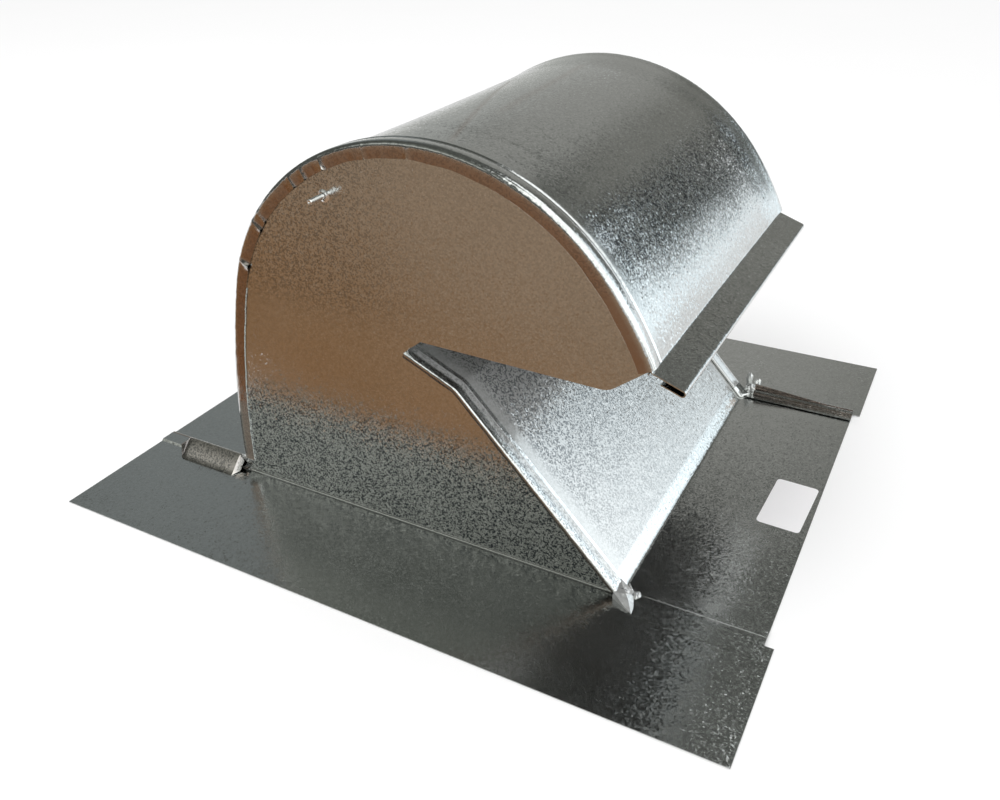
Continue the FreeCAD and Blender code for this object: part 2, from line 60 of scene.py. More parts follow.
class VentFinish(PropertyGroup):
    """Sizes and colours of the metal's finish."""

    zinc_colour: FloatVectorProperty(
        name="Zinc colour",
        description="Colour that bare galvanised sheet reflects",
        subtype="COLOR", size=3, min=0.0, max=1.0, default=(0.60, 0.61, 0.60),
    )
    crystal_size: FloatProperty(
        name="Crystal size",
        description="Width of one crystal of the zinc coat",
        unit="LENGTH", min=0.0002, max=0.01, precision=5, default=0.00095,
    )
    crystal_tilt: FloatProperty(
        name="Crystal tilt",
        description="How far the crystals lean from the sheet",
        min=0.0, max=1.0, default=0.085,
    )
    sheet_roughness: FloatProperty(
        name="Sheet roughness",
        description="Softness of the reflections in the sheet",
        subtype="FACTOR", min=0.0, max=1.0, default=0.15,
    )
    rod_colour: FloatVectorProperty(
        name="Rod colour",
        description="Colour that the bright damper rod reflects",
        subtype="COLOR", size=3, min=0.0, max=1.0, default=(0.90, 0.90, 0.89),
    )
    wire_colour: FloatVectorProperty(
        name="Wire colour",
        description="Colour that the dull zinc of the screen reflects",
        subtype="COLOR", size=3, min=0.0, max=1.0, default=(0.52, 0.53, 0.53),
    )


class VentScreen(PropertyGroup):
    """Sizes of the bird screen."""

    wire: FloatProperty(
        name="Wire",
        description="Thickness of the screen's wire",
        unit="LENGTH", min=0.0003, max=0.003, precision=5, default=0.0009,
    )
    pitch: FloatProperty(
        name="Pitch",
        description="Distance from one wire to the next",
        unit="LENGTH", min=0.003, max=0.03, precision=4, default=0.0127,
    )
    unevenness: FloatProperty(
        name="Unevenness",
        description="How far a wire may sit from its even place",
        unit="LENGTH", min=0.0, max=0.002, precision=5, default=0.00015,
    )


class VentSticker(PropertyGroup):
    """Sizes of the blank sticker on the front flange."""

    length: FloatProperty(
        name="Sticker length",
        description="Size across the vent",
        unit="LENGTH", min=0.005, max=0.1, precision=4, default=0.0508,
    )
    width: FloatProperty(
        name="Sticker width",
        description="Size along the vent",
        unit="LENGTH", min=0.005, max=0.1, precision=4, default=0.0268,
    )
    corner: FloatProperty(
        name="Sticker corner",
        description="Radius of the sticker's corners",
        unit="LENGTH", min=0.0005, max=0.01, precision=4, default=0.0026,
    )
    paper: FloatVectorProperty(
        name="Paper colour",
        description="Colour of the sticker's paper",
        subtype="COLOR", size=3, min=0.0, max=1.0, default=(0.93, 0.92, 0.93),
    )


class VentStudio(PropertyGroup):
    """Floor, light and camera."""

    floor_colour: FloatVectorProperty(
        name="Floor colour",
        description="Colour of the pale floor",
        subtype="COLOR", size=3, min=0.0, max=1.0, default=(0.93, 0.93, 0.93),
    )
    sky_strength: FloatProperty(
        name="Sky strength",
        description="Strength of the even light from all round",
        min=0.0, max=2.0, default=1.0,
    )
    lamp_power: FloatProperty(
        name="Lamp power",
        description="Power of the soft lamp overhead",
        unit="POWER", min=0.0, max=500.0, default=14.0,
    )
    focal_length: FloatProperty(
        name="Focal length",
        description="Lens of the camera in millimetres",
        min=10.0, max=200.0, default=32.39,
    )


def node_tree(owner):
    """Empty node tree of a material or a sky."""
    owner.use_nodes = True
    tree = owner.node_tree
    tree.nodes.clear()
    return tree


def add_node(tree, kind, inputs=None, **settings):
    """One shader node with its settings and its input values or links."""
    node = tree.nodes.new(kind)
    for name, value in settings.items():
        setattr(node, name, value)
    for key, value in (inputs or {}).items():
        if isinstance(value, bpy.types.NodeSocket):
            tree.links.new(value, node.inputs[key])
        else:
            node.inputs[key].default_value = value
    return node


def maths(tree, operation, *values):
    return add_node(tree, "ShaderNodeMath", dict(enumerate(values)), operation=operation).outputs[0]


def product(tree, first, second):
    return maths(tree, "MULTIPLY", first, second)


def difference(tree, first, second):
    return maths(tree, "SUBTRACT", first, second)


def vector_maths(tree, operation, *values):
    node = add_node(tree, "ShaderNodeVectorMath", dict(enumerate(values)), operation=operation)
    return node.outputs["Value"] if operation in ("DOT_PRODUCT", "LENGTH") else node.outputs["Vector"]


def blend_colours(tree, share, first, second):
    node = add_node(tree, "ShaderNodeMix", data_type="RGBA")
    for index, value in ((0, share), (6, first), (7, second)):
        if isinstance(value, bpy.types.NodeSocket):
            tree.links.new(value, node.inputs[index])
        else:
            node.inputs[index].default_value = value
    return node.outputs[2]


def remap(tree, value, low, high, to_low, to_high, smooth=False):
    kind = "SMOOTHSTEP" if smooth else "LINEAR"
    node = add_node(tree, "ShaderNodeMapRange", {0: value, 1: low, 2: high, 3: to_low, 4: to_high},
                    interpolation_type=kind)
    return node.outputs[0]


def object_place(tree):
    """Place on the object, in its own coordinates."""
    return add_node(tree, "ShaderNodeTexCoord").outputs["Object"]


def clouds(tree, place, scale, detail):
    """Soft random pattern from 0 to 1."""
    pattern = add_node(tree, "ShaderNodeTexNoise", {"Vector": place, "Scale": scale, "Detail": detail})
    return pattern.outputs["Fac"]


def new_group(name, inputs, outputs):
    """Shader node group with named sockets; returns the tree and its input and output nodes."""
    tree = bpy.data.node_groups.new(name, "ShaderNodeTree")
    for label, kind, default in inputs:
        socket = tree.interface.new_socket(label, in_out="INPUT", socket_type=kind)
        socket.default_value = default
    for label, kind in outputs:
        tree.interface.new_socket(label, in_out="OUTPUT", socket_type=kind)
    return tree, tree.nodes.new("NodeGroupInput"), tree.nodes.new("NodeGroupOutput")


DULL_SHARE = 0.5
CLOUD_SCALE = 16.0
GRAIN_SIZE = 0.0008
# Share of the bluish dark colour that the crystals painting dark, speckled reflections take
PAINTED_SPECKLE_DEPTH = 0.85


def zinc_spangle_group():
    """Fine crystals of a zinc coat: each leans its own way and has its own shade."""
    tree, given, result = new_group(
        "zinc_spangle",
        [("Crystal Size", "NodeSocketFloat", 0.001), ("Tilt", "NodeSocketFloat", 0.1),
         ("Calm", "NodeSocketFloat", 0.0), ("Seed", "NodeSocketFloat", 0.0)],
        [("Shade", "NodeSocketFloat"), ("Grain", "NodeSocketFloat"), ("Cloud", "NodeSocketFloat"),
         ("Normal", "NodeSocketVector")],
    )
    place = object_place(tree)
    moved = vector_maths(tree, "ADD", place, add_node(
        tree, "ShaderNodeCombineXYZ", {0: given.outputs["Seed"], 1: given.outputs["Seed"]}).outputs[0])
    scale = maths(tree, "DIVIDE", 1.0, given.outputs["Crystal Size"])
    crystals = add_node(tree, "ShaderNodeTexVoronoi", {"Vector": moved, "Scale": scale, "Randomness": 1.0},
                        voronoi_dimensions="3D", feature="F1")
    lean = vector_maths(tree, "SUBTRACT", crystals.outputs["Color"], (0.5, 0.5, 0.5))
    reach = maths(tree, "POWER", product(tree, vector_maths(tree, "LENGTH", lean), 2.0), 1.5)
    loose = difference(tree, 1.0, given.outputs["Calm"])
    strength = product(tree, product(tree, reach, given.outputs["Tilt"]), loose)
    strong = add_node(tree, "ShaderNodeVectorMath", {0: lean, "Scale": strength}, operation="SCALE")
    facing = add_node(tree, "ShaderNodeNewGeometry").outputs["Normal"]
    leaned = vector_maths(tree, "NORMALIZE", vector_maths(tree, "ADD", facing, strong.outputs["Vector"]))
    tree.links.new(leaned, result.inputs["Normal"])
    split = add_node(tree, "ShaderNodeSeparateColor", {0: crystals.outputs["Color"]})
    tree.links.new(split.outputs[0], result.inputs["Shade"])
    specks = add_node(tree, "ShaderNodeTexVoronoi", {
        "Vector": moved, "Scale": 1.0 / GRAIN_SIZE, "Randomness": 1.0}, voronoi_dimensions="3D", feature="F1")
    chance = add_node(tree, "ShaderNodeSeparateColor", {0: specks.outputs["Color"]})
    tree.links.new(chance.outputs[0], result.inputs["Grain"])
    tree.links.new(clouds(tree, moved, CLOUD_SCALE, 3.0), result.inputs["Cloud"])
    return tree


# Brown tint that paints shade and the reflection of the brown ground onto the locks' rims and covers and into
# the creases
PAINTED_SHADE_TINT = (0.70, 0.56, 0.50)
DARK_CRYSTAL, LIGHT_CRYSTAL = 0.84, 1.12
# Bluish dark colour of the crystals that paint dark, speckled reflections
PAINTED_SPECKLE_COLOUR = (0.03, 0.042, 0.056, 1.0)


# Where the side walls' painted speckle (dark crystals standing in for dark, speckled reflections) begins and
# ends: out from the middle, up from the floor and along the vent
WALL_INSIDE, WALL_OUTSIDE = (0.1262, 0.1264), (0.12705, 0.12715)
LOW_SPECKLE, HIGH_SPECKLE = (0.088, 0.058), (0.125, 0.155)
REAR_SPECKLE, ABOVE_FLANGE = (0.03, -0.05), (0.002, 0.003)


def painted_speckle_mask(tree):
    """Where the zinc gets dark crystals that paint dark, speckled reflections: set by a sheet's attribute,
    and low and high on the side walls.
    """
    sheet = add_node(tree, "ShaderNodeAttribute", attribute_name="grain").outputs["Fac"]
    axes = add_node(tree, "ShaderNodeSeparateXYZ", {0: object_place(tree)})
    aside = maths(tree, "ABSOLUTE", axes.outputs[1])
    wall = maths(tree, "MINIMUM", remap(tree, aside, *WALL_INSIDE, 0.0, 1.0),
                 remap(tree, aside, *WALL_OUTSIDE, 1.0, 0.0))
    low = remap(tree, axes.outputs[2], *LOW_SPECKLE, 0.0, 1.0, smooth=True)
    high = product(tree, remap(tree, axes.outputs[2], *HIGH_SPECKLE, 0.0, 0.5, smooth=True),
                   remap(tree, axes.outputs[0], *REAR_SPECKLE, 0.1, 1.0, smooth=True))
    above = product(tree, wall, remap(tree, axes.outputs[2], *ABOVE_FLANGE, 0.0, 1.0))
    return maths(tree, "MAXIMUM", sheet, product(tree, above, maths(tree, "MAXIMUM", low, high)))


def zinc_material(name, group, colour, roughness, size, tilt, seed, painted_shading):
    """Galvanised metal with spangle in its shade, gloss and slope; a sheet with painted shading gets a brown
    tint of painted shade and reflection and dark crystals of painted speckled reflection.
    """
    material = bpy.data.materials.new(name)
    tree = node_tree(material)
    coat = add_node(tree, "ShaderNodeGroup", node_tree=group)
    coat.inputs["Crystal Size"].default_value = size
    coat.inputs["Tilt"].default_value = tilt
    coat.inputs["Seed"].default_value = seed
    shade, cloud = coat.outputs["Shade"], coat.outputs["Cloud"]
    dull = [part * DARK_CRYSTAL for part in colour] + [1.0]
    bright = [min(1.0, part * LIGHT_CRYSTAL) for part in colour] + [1.0]
    share = maths(tree, "ADD", product(tree, shade, 0.6), product(tree, cloud, 0.4))
    base = blend_colours(tree, share, dull, bright)
    rough = maths(tree, "ADD", remap(tree, cloud, 0.3, 0.7, roughness - 0.02, roughness + 0.03),
                  product(tree, shade, 0.05))
    shader = add_node(tree, "ShaderNodeBsdfPrincipled", {
        "Base Color": base, "Metallic": 1.0, "Roughness": rough, "Normal": coat.outputs["Normal"]})
    add_node(tree, "ShaderNodeOutputMaterial", {"Surface": shader.outputs[0]})
    if painted_shading:
        paint_shade_and_speckle(tree, coat, shader, base, colour)
    return material


def paint_shade_and_speckle(tree, coat, shader, base, colour):
    """Brown tint of painted shade and reflection, dark crystals of painted speckled reflection and a duller
    coat where the sheet's attributes ask for them.
    """
    calm, painted_shade, dull_coat = (add_node(tree, "ShaderNodeAttribute", attribute_name=name).outputs["Fac"]
                              for name in ("calm", "painted_shade", "dull"))
    tree.links.new(calm, coat.inputs["Calm"])
    # Brown painted shade and reflection, as much as the sheet's attribute for it asks
    painted_shading = [part * tint for part, tint in zip(colour, PAINTED_SHADE_TINT)] + [1.0]
    with_painted_shade = blend_colours(tree, painted_shade, base, painted_shading)
    # Dark crystals that paint dark, speckled reflections where the mask asks for them
    painted_speckle = product(tree, remap(tree, coat.outputs["Grain"], 0.33, 0.43, PAINTED_SPECKLE_DEPTH, 0.0),
                            product(tree, painted_speckle_mask(tree), difference(tree, 1.0, calm)))
    speckled_colour = blend_colours(tree, painted_speckle, with_painted_shade, PAINTED_SPECKLE_COLOUR)
    tree.links.new(speckled_colour, shader.inputs["Base Color"])
    metal = difference(tree, 1.0, product(tree, dull_coat, DULL_SHARE))
    tree.links.new(metal, shader.inputs["Metallic"])


SHEET_FINISH = "galvanised_sheet_finish"
WIRE_FINISH = "galvanised_wire_finish"
ROD_FINISH = "bright_rod_finish"


def make_finishes(scene):
    """Galvanised and bright finishes that the pieces share."""
    look = scene.vent_finish
    group = zinc_spangle_group()
    zinc_material(SHEET_FINISH, group, look.zinc_colour, roughness=look.sheet_roughness,
                  size=look.crystal_size, tilt=look.crystal_tilt, seed=0.0, painted_shading=True)
    zinc_material(WIRE_FINISH, group, look.wire_colour, roughness=0.36, size=0.0008, tilt=0.2, seed=3.0,
                  painted_shading=False)
    zinc_material(ROD_FINISH, group, look.rod_colour, roughness=0.27, size=0.0006, tilt=0.04, seed=5.0,
                  painted_shading=False)


def dress_nodes():
    """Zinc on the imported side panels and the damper's flap."""
    for name in SHEET_NODES:
        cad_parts[name].material_slots[0].material = bpy.data.materials[SHEET_FINISH]


def mesh_object(name, points, faces, material=None, smooth=False):
    mesh = bpy.data.meshes.new(name)
    mesh.from_pydata([tuple(point) for point in points], [], faces)
    mesh.validate()
    mesh.polygons.foreach_set("use_smooth", [smooth] * len(mesh.polygons))
    thing = bpy.data.objects.new(name, mesh)
    bpy.context.scene.collection.objects.link(thing)
    if material:
        mesh.materials.append(material)
    return thing


def smooth_piece(name, mesh, sharp_angle, material):
    """Object of a mesh that is smooth apart from its folds, with its finish."""
    mesh.polygons.foreach_set("use_smooth", [True] * len(mesh.polygons))
    mesh.set_sharp_from_angle(angle=math.radians(sharp_angle))
    mesh.materials.append(bpy.data.materials[material])
    thing = bpy.data.objects.new(name, mesh)
    bpy.context.scene.collection.objects.link(thing)
    return thing


MM = 0.001

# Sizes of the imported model's sheets and locks, in millimetres and degrees
SHEET = 0.55
FOLD_GAP = 0.1
LOCK_CLEARANCE = 0.1
FOOT_RADIUS = 4.0
HALF_WIDTH = 127.0
BACK_EDGE = -220.0
BACK_FLANGE = 82.0
FRONT_EDGE = 215.0
FRONT_FLANGE = 81.0
APRON_SETBACK = 8.0
LOCK_RELIEF = 7.0
POCKET_DEPTH = 10.5
HAMMERED_EDGE = 6.0
NICK_DEPTH = 1.0
BURR = 0.35
CRIMP_WIDTH = 1.6
WALL_HEADING = 87.0
WALL_STRAIGHT = 27.5
SHOULDER_RADIUS, SHOULDER_TURN = 494.0, 13.5
CROWN_RADIUS, CROWN_TURN = 134.0, 127.5
BROW_RADIUS, BROW_TURN, BROW_BARE_END = 217.0, 11.4, 0.6
LIP_DROOP = 20.0
LIP_BEND = 2.0
LIP_WIDTH = 17.3
LIP_HEM_GAP = 2.6
LIP_HEM_RETURN = 11.0
THROAT_ANGLE = 46.8
THROAT_RISE = 108.0
THROAT_BEND_RADIUS = 8.0
UPPER_ANGLE = 25.0
UPPER_LENGTH = 35.0
SEAT_ROOT = 3.0
SEAT_BEND = 3.0
SEAT_HEIGHT = 13.0
SEAT_HEM_GAP = 2.2
SEAT_HEM_RETURN = 9.0
FLAP_LEAN = 28.49
CROWN_CENTRE = Vector((11.59, 103.85))

# Longest step and turn from one station of a sheet to the next, and the least gap between two stations
SWEEP_STEP, SWEEP_TURN, LEAST_GAP = 2.4, 15.0, 0.05

SHEET_EDGE = HALF_WIDTH - SHEET - LOCK_CLEARANCE
ROOT = SHEET_EDGE - POCKET_DEPTH
MIDDLE_TOP = 2 * SHEET + FOLD_GAP
COVER_UNDER = MIDDLE_TOP + 2 * LOCK_CLEARANCE + SHEET
COVER_TOP = COVER_UNDER + SHEET
TIGHT_FOLD = MIDDLE_TOP / 2
RIM_NEAR = HALF_WIDTH + LOCK_CLEARANCE
RIM_FAR = RIM_NEAR + SHEET

# Crown angle of each nick in degrees, and how far its pleat stands out
CRIMPS = ((7.4, 1.0), (20.0, 0.8), (23.0, 0.55), (38.2, 0.8), (42.6, 0.7), (49.0, 0.9), (61.6, 0.45),
          (73.3, 0.6))
PLEAT_STATIONS = (-6.0, -4.0, -2.2, -1.2, -0.6, -0.2, 0.0, 0.2, 0.6, 1.1, 1.7, 2.4)
PLEAT_BEFORE, PLEAT_AFTER, PLEAT_HEIGHT = 6.0, 2.4, 1.15
# Crown angles between which the stations stand close enough for the creases
CREASE_FIRST, CREASE_LAST, CREASE_STEP = 55.0, 82.0, 0.6
# Crown angle of each crease at the middle, its slant, half width, strength of its painted shade and two ends
# across the crown
CREASES = (
    (64.4, -0.135, 1.6, 0.55, (-120.0, 62.0)),
    (75.0, -0.035, 3.2, 0.30, (-60.0, 124.0)),
)
SLANT_DEPTH, BESIDE_DEPTH = 0.30, 0.14


class Station(NamedTuple):
    """One place along a sheet's side view."""

    place: Vector
    outward: Vector
    distance: float
    run: str
    share: float


def unit(heading):
    """Direction in the side view, as x and z."""
    return Vector((math.cos(math.radians(heading)), math.sin(math.radians(heading))))


def setback(radius, turn):
    """Distance from a bend's tangent point to the corner that it rounds."""
    return radius * math.tan(math.radians(abs(turn)) / 2)


def crown_shares(shares, length):
    """Shares of the crown's turn, with those of its pleats and creases added and near doubles left out."""
    for angle, _ in CRIMPS:
        shares += [angle / CROWN_TURN + along / length for along in PLEAT_STATIONS]
    fine = math.ceil((CREASE_LAST - CREASE_FIRST) / CREASE_STEP)
    shares += [(CREASE_FIRST + (CREASE_LAST - CREASE_FIRST) * index / fine) / CROWN_TURN
               for index in range(fine + 1)]
    shares = sorted(share for share in shares if 0.0 <= share <= 1.0)
    return [share for index, share in enumerate(shares)
            if index == 0 or (share - shares[index - 1]) * length > LEAST_GAP or share == 1.0]


def follow(start, heading, side, runs):
    """Stations along straight runs, each a name and length, and bends, each a name, radius and turn."""
    place, distance, stations = Vector(start), 0.0, []
    for name, *sizes in runs:
        if len(sizes) == 1:
            length, turn = sizes[0], 0.0
        else:
            length, turn = sizes[0] * math.radians(abs(sizes[1])), sizes[1]
        count = max(1, math.ceil(length / SWEEP_STEP), math.ceil(abs(turn) / SWEEP_TURN))
        shares = [index / count for index in range(count + 1)]
        if name == "crown":
            shares = crown_shares(shares, length)
        if turn:
            centre = place + unit(heading + math.copysign(90, turn)) * sizes[0]
        for share in shares:
            facing = heading + turn * share
            if turn:
                point = centre + unit(facing - math.copysign(90, turn)) * sizes[0]
            else:
                point = place + unit(heading) * (length * share)
            stations.append(Station(point, unit(facing + 90 * side), distance + length * share, name, share))
        place, heading, distance = stations[-1].place, heading + turn, distance + length
    return stations


def hood_stations():
    """Side view of the hood's sheet, from the back edge up the wall and over to the lip's hem."""
    foot = setback(FOOT_RADIUS, WALL_HEADING)
    bare_turn = math.degrees(BROW_BARE_END / BROW_RADIUS)
    lip_turn = -LIP_DROOP - (WALL_HEADING - SHOULDER_TURN - CROWN_TURN - BROW_TURN)
    return follow((BACK_EDGE, 0.0), 0.0, 1, [
        ("setback", APRON_SETBACK),
        ("flange", BACK_FLANGE - APRON_SETBACK - foot - LOCK_RELIEF),
        ("flange_relief", LOCK_RELIEF),
        ("foot", FOOT_RADIUS, WALL_HEADING),
        ("wall_relief", LOCK_RELIEF),
        ("wall", WALL_STRAIGHT - foot - LOCK_RELIEF),
        ("shoulder", SHOULDER_RADIUS, -SHOULDER_TURN),
        ("crown", CROWN_RADIUS, -CROWN_TURN),
        ("brow", BROW_RADIUS, -(BROW_TURN - bare_turn)),
        ("brow_end", BROW_RADIUS, -bare_turn),
        ("lip_bend", LIP_BEND, lip_turn),
        ("lip", LIP_WIDTH - setback(LIP_BEND, lip_turn)),
        ("lip_hem", LIP_HEM_GAP / 2, -180.0),
        ("lip_return", LIP_HEM_RETURN),
    ])


def throat_stations():
    """Side view of the throat's sheet, from the front edge back and up to the damper seat's hem."""
    foot = setback(FOOT_RADIUS, THROAT_ANGLE)
    knee_turn = THROAT_ANGLE - UPPER_ANGLE
    knee = setback(THROAT_BEND_RADIUS, knee_turn)
    seat_turn = 90.0 + FLAP_LEAN - (180.0 - THROAT_ANGLE + knee_turn)
    root = setback(SEAT_BEND, seat_turn)
    return follow((FRONT_EDGE, 0.0), 180.0, -1, [
        ("flange", FRONT_FLANGE - foot - LOCK_RELIEF),
        ("flange_relief", LOCK_RELIEF),
        ("foot", FOOT_RADIUS, -THROAT_ANGLE),
        ("slope_relief", LOCK_RELIEF),
        ("slope", THROAT_RISE / math.sin(math.radians(THROAT_ANGLE)) - foot - LOCK_RELIEF - knee),
        ("knee", THROAT_BEND_RADIUS, knee_turn),
        ("upper", UPPER_LENGTH - knee),
        ("seat_root", SEAT_ROOT - root),
        ("seat_bend", SEAT_BEND, seat_turn),
        ("seat", SEAT_HEIGHT - root),
        ("seat_hem", SEAT_HEM_GAP / 2 + SHEET, -180.0),
        ("seat_return", SEAT_HEM_RETURN),
    ])


def arc(centre, radius, start, end, count):
    """Points on an arc of a section, as width and offset."""
    angles = [math.radians(start + (end - start) * index / (count - 1)) for index in range(count)]
    return [(centre[0] + radius * math.cos(a), centre[1] + radius * math.sin(a)) for a in angles]


class Lock(NamedTuple):
    """Outer part of a lock's section: its nose, then points outwards from the nose to the rim's edge."""

    root: float
    nose: float
    under: list
    upper: list
    # Share of brown painted shade and reflection at each point of the upper outline
    painted_shade: list


STRIP_POINTS = 6
RIM_POINTS = 9
CORNER_RADIUS = 2.7
CORNER_TOP = 2.72
RAMP = ((0.9, 2.02), (-4.0, 1.80), (-9.0, 1.45), (-15.0, 1.05), (-21.0, 0.74), (-27.0, 0.55))
BEAD_NOSE, FLAT_NOSE = 0.95, 0.65
OVERHANG_SHIFT, OVERHANG_OUT, OVERHANG_RADIUS = 5.0, 131.2, 1.3
OVERHANG_LEAN, OVERHANG_TIP = 1.5, 1.9
OVERHANG_STRIP = ((1.6, 2.44), (2.2, 2.30), (2.8, 2.26), (4.0, 2.34), (6.0, 2.52), (7.9, 2.70))
RAISED_STRIP = ((1.6, 2.42), (2.2, 2.15), (2.8, 2.10), (3.7, 2.32), (5.5, 2.66), (8.7, 2.72))
SHALLOW_STRIP = ((1.6, 2.42), (2.2, 2.30), (2.8, 2.30), (3.7, 2.40), (5.5, 2.62), (8.7, 2.72))
SMOOTH_STRIP = ((1.3, 2.05), (2.6, 2.15), (3.3, 2.20), (4.2, 2.28), (6.2, 2.46), (8.7, 2.70))
FLAT_STRIP = ((1.3, 2.05), (2.6, 2.35), (3.3, 2.45), (4.2, 2.50), (6.2, 2.50), (8.7, 2.50))
FRONT_LOCK_SHIFT = 7.0
BACK_APRON_EDGE, FRONT_APRON_EDGE = 137.0, 140.0


def strip_points(offsets, root):
    """Points of the lock's strip from its nose to the side wall."""
    stretch = (SHEET_EDGE - root) / POCKET_DEPTH
    return [(root + along * stretch, level) for along, level in offsets]


def lower_side(points):
    return [(y, level - SHEET) for y, level in points]


def blend_locks(first, second, share):
    """Lock part of the way between two others."""
    def between(one, other):
        return one + (other - one) * share

    def outline(one, other):
        return [(between(a[0], b[0]), between(a[1], b[1])) for a, b in zip(one, other)]

    return Lock(between(first.root, second.root), between(first.nose, second.nose),
                outline(first.under, second.under), outline(first.upper, second.upper),
                [between(a, b) for a, b in zip(first.painted_shade, second.painted_shade)])


def hammered_lock(raised, bulge, pleat, drop, nick, burr):
    """Lock whose cover is hammered round the side wall's edge."""
    end = -(HAMMERED_EDGE + drop) + NICK_DEPTH * nick
    middle = (RIM_FAR + bulge - CORNER_RADIUS, CORNER_TOP - CORNER_RADIUS)
    strip = strip_points(raised, ROOT)
    upper = strip + arc(middle, CORNER_RADIUS, 76, 0, 5)
    under = lower_side(strip) + arc(middle, CORNER_RADIUS - SHEET, 76, 0, 5)
    fold = 1.0 - 0.7 * min(1.0, pleat)
    for share in (0.3, 0.65, 1.0):
        level = middle[1] + (end - middle[1]) * share
        out = bulge * (1 - share ** 1.5) + pleat * (0.15 + 1.15 * share)
        upper.append((RIM_FAR + out, level))
        under.append((RIM_NEAR + out, level))
    upper.append((upper[-1][0] + burr, end - burr))
    under.append((under[-1][0], end - 1.5 * burr))
    # Brown painted shade and reflection on the rim, lighter where a pleat stands out
    return Lock(ROOT, BEAD_NOSE, under, upper, [0.0] * (STRIP_POINTS + 4) + [0.55, fold, fold, fold, 0.0])


def overhung_lock(out, level, end):
    """Throat's near lock: its strip stands out past the side wall and turns down at its edge."""
    root = ROOT + OVERHANG_SHIFT
    middle = (out - OVERHANG_RADIUS, level - OVERHANG_RADIUS)
    strip = [(root + along, height) for along, height in OVERHANG_STRIP]
    upper = strip + arc(middle, OVERHANG_RADIUS, 78, 0, 5)
    under = lower_side(strip) + arc(middle, OVERHANG_RADIUS - SHEET, 78, 0, 5)
    for share in (0.35, 0.7, 1.0):
        height = middle[1] + (end - middle[1]) * share
        upper.append((out - OVERHANG_LEAN * share ** 2, height))
        under.append((out - SHEET - OVERHANG_LEAN * share ** 2, height))
    upper.append((out - OVERHANG_TIP, end - 0.1))
    under.append((out - OVERHANG_TIP - SHEET, end + 0.1))
    # Brown painted shade and reflection on the turned-down edge
    return Lock(root, BEAD_NOSE, under, upper, [0.0] * (STRIP_POINTS + 4) + [0.6, 1.0, 1.0, 1.0, 1.0])


def bare_lock(root):
    """Lock with its rim cut away, where the sheet turns at its foot."""
    strip = strip_points(FLAT_STRIP, root)
    upper = strip + [(SHEET_EDGE + 0.08 * index, COVER_TOP) for index in range(RIM_POINTS)]
    return Lock(root, FLAT_NOSE, lower_side(upper), upper, [0.0] * (STRIP_POINTS + RIM_POINTS))


def beaten_lock(root):
    """Lock beaten down hard at the flange's end."""
    strip = strip_points([(along, 1.72) for along, _ in FLAT_STRIP], root)
    upper = strip + [(SHEET_EDGE + 0.08 * index, 1.72) for index in range(RIM_POINTS)]
    under = [(y, 1.3) for y, _ in upper]
    # Brown painted shade and reflection over the whole beaten end
    return Lock(root, 0.42, under, upper, [1.0] * (STRIP_POINTS + RIM_POINTS))


def apron_lock(root, edge):
    """Lock that lies flat, with its cover as an apron that slopes to the side flange."""
    strip = strip_points(FLAT_STRIP, root)
    reach = edge - 126.35
    slope = ((0.0, 2.5), (0.08, 2.47), (0.17, 2.35), (0.27, 2.1), (0.4, 1.8), (0.54, 1.5), (0.7, 1.3),
             (0.9, 1.0), (1.0, 0.62))
    upper = strip + [(126.35 + share * reach, level) for share, level in slope]
    under = [(y, max(level, SHEET + 0.03)) for y, level in lower_side(upper)]
    return Lock(root, FLAT_NOSE, under, upper, [0.0] * (STRIP_POINTS + RIM_POINTS))


def tent_lock():
    """Back lock's near end, where the cover isn't flattened and stands up like a tent."""
    ridge = [(117.2, 2.6), (118.6, 3.9), (119.5, 4.8), (120.6, 5.9), (122.6, 7.8), (124.6, 9.6),
             (126.0, 10.9), (126.8, 11.45), (127.4, 11.5), (128.0, 11.0), (130.4, 9.0), (133.2, 6.3),
             (135.8, 3.6), (137.9, 1.5), (138.8, 0.95)]
    inside = [(y + (0.35 if index < 7 else -0.3), max(0.6, level - 0.7))
              for index, (y, level) in enumerate(ridge)]
    # Brown painted reflection over the tent, stronger on its outer slope
    return Lock(ROOT, FLAT_NOSE, inside, ridge, [0.2] * 8 + [0.5] * 7)


def fin_lock(spread):
    """Front lock's far end: an open pocket whose cover stands up behind the strip."""
    foot = ROOT + FRONT_LOCK_SHIFT
    strip = [(0.9, 2.2), (1.05, 3.6), (0.85, 4.3), (1.0, 4.9), (1.6, 5.2), (2.5, 4.9)]
    cover = [(3.3, 5.6), (3.5, 7.0), (3.6, 8.2), (3.8, 9.0), (4.2, 9.0), (4.5, 7.5), (4.6, 5.5), (4.7, 3.8),
             (4.8, 2.4)]
    raised = strip + [(y, level if level < 5.0 else 5.0 + (level - 5.0) * spread) for y, level in cover]
    inside = [(y + 0.12 if index < 10 else y - 0.3, max(0.7, level - 0.75))
              for index, (y, level) in enumerate(raised)]
    # Brown painted reflection of the ground on the strip and on the standing cover
    painted_shade = [0.9, 1.0, 0.5, 0.0, 0.0, 0.8] + [1.0] * 4 + [0.5] * 5
    return Lock(foot, FLAT_NOSE, [(foot + y, level) for y, level in inside],
                [(foot + y, level) for y, level in raised], painted_shade)


WIDTHS = [7.5 * index for index in range(11)] + [81.0, 85.0, 88.0, 91.0, 95.0, 100.0, 104.0, 108.0, 112.0,
                                                 115.5, 119.0, 122.5, SHEET_EDGE - TIGHT_FOLD]


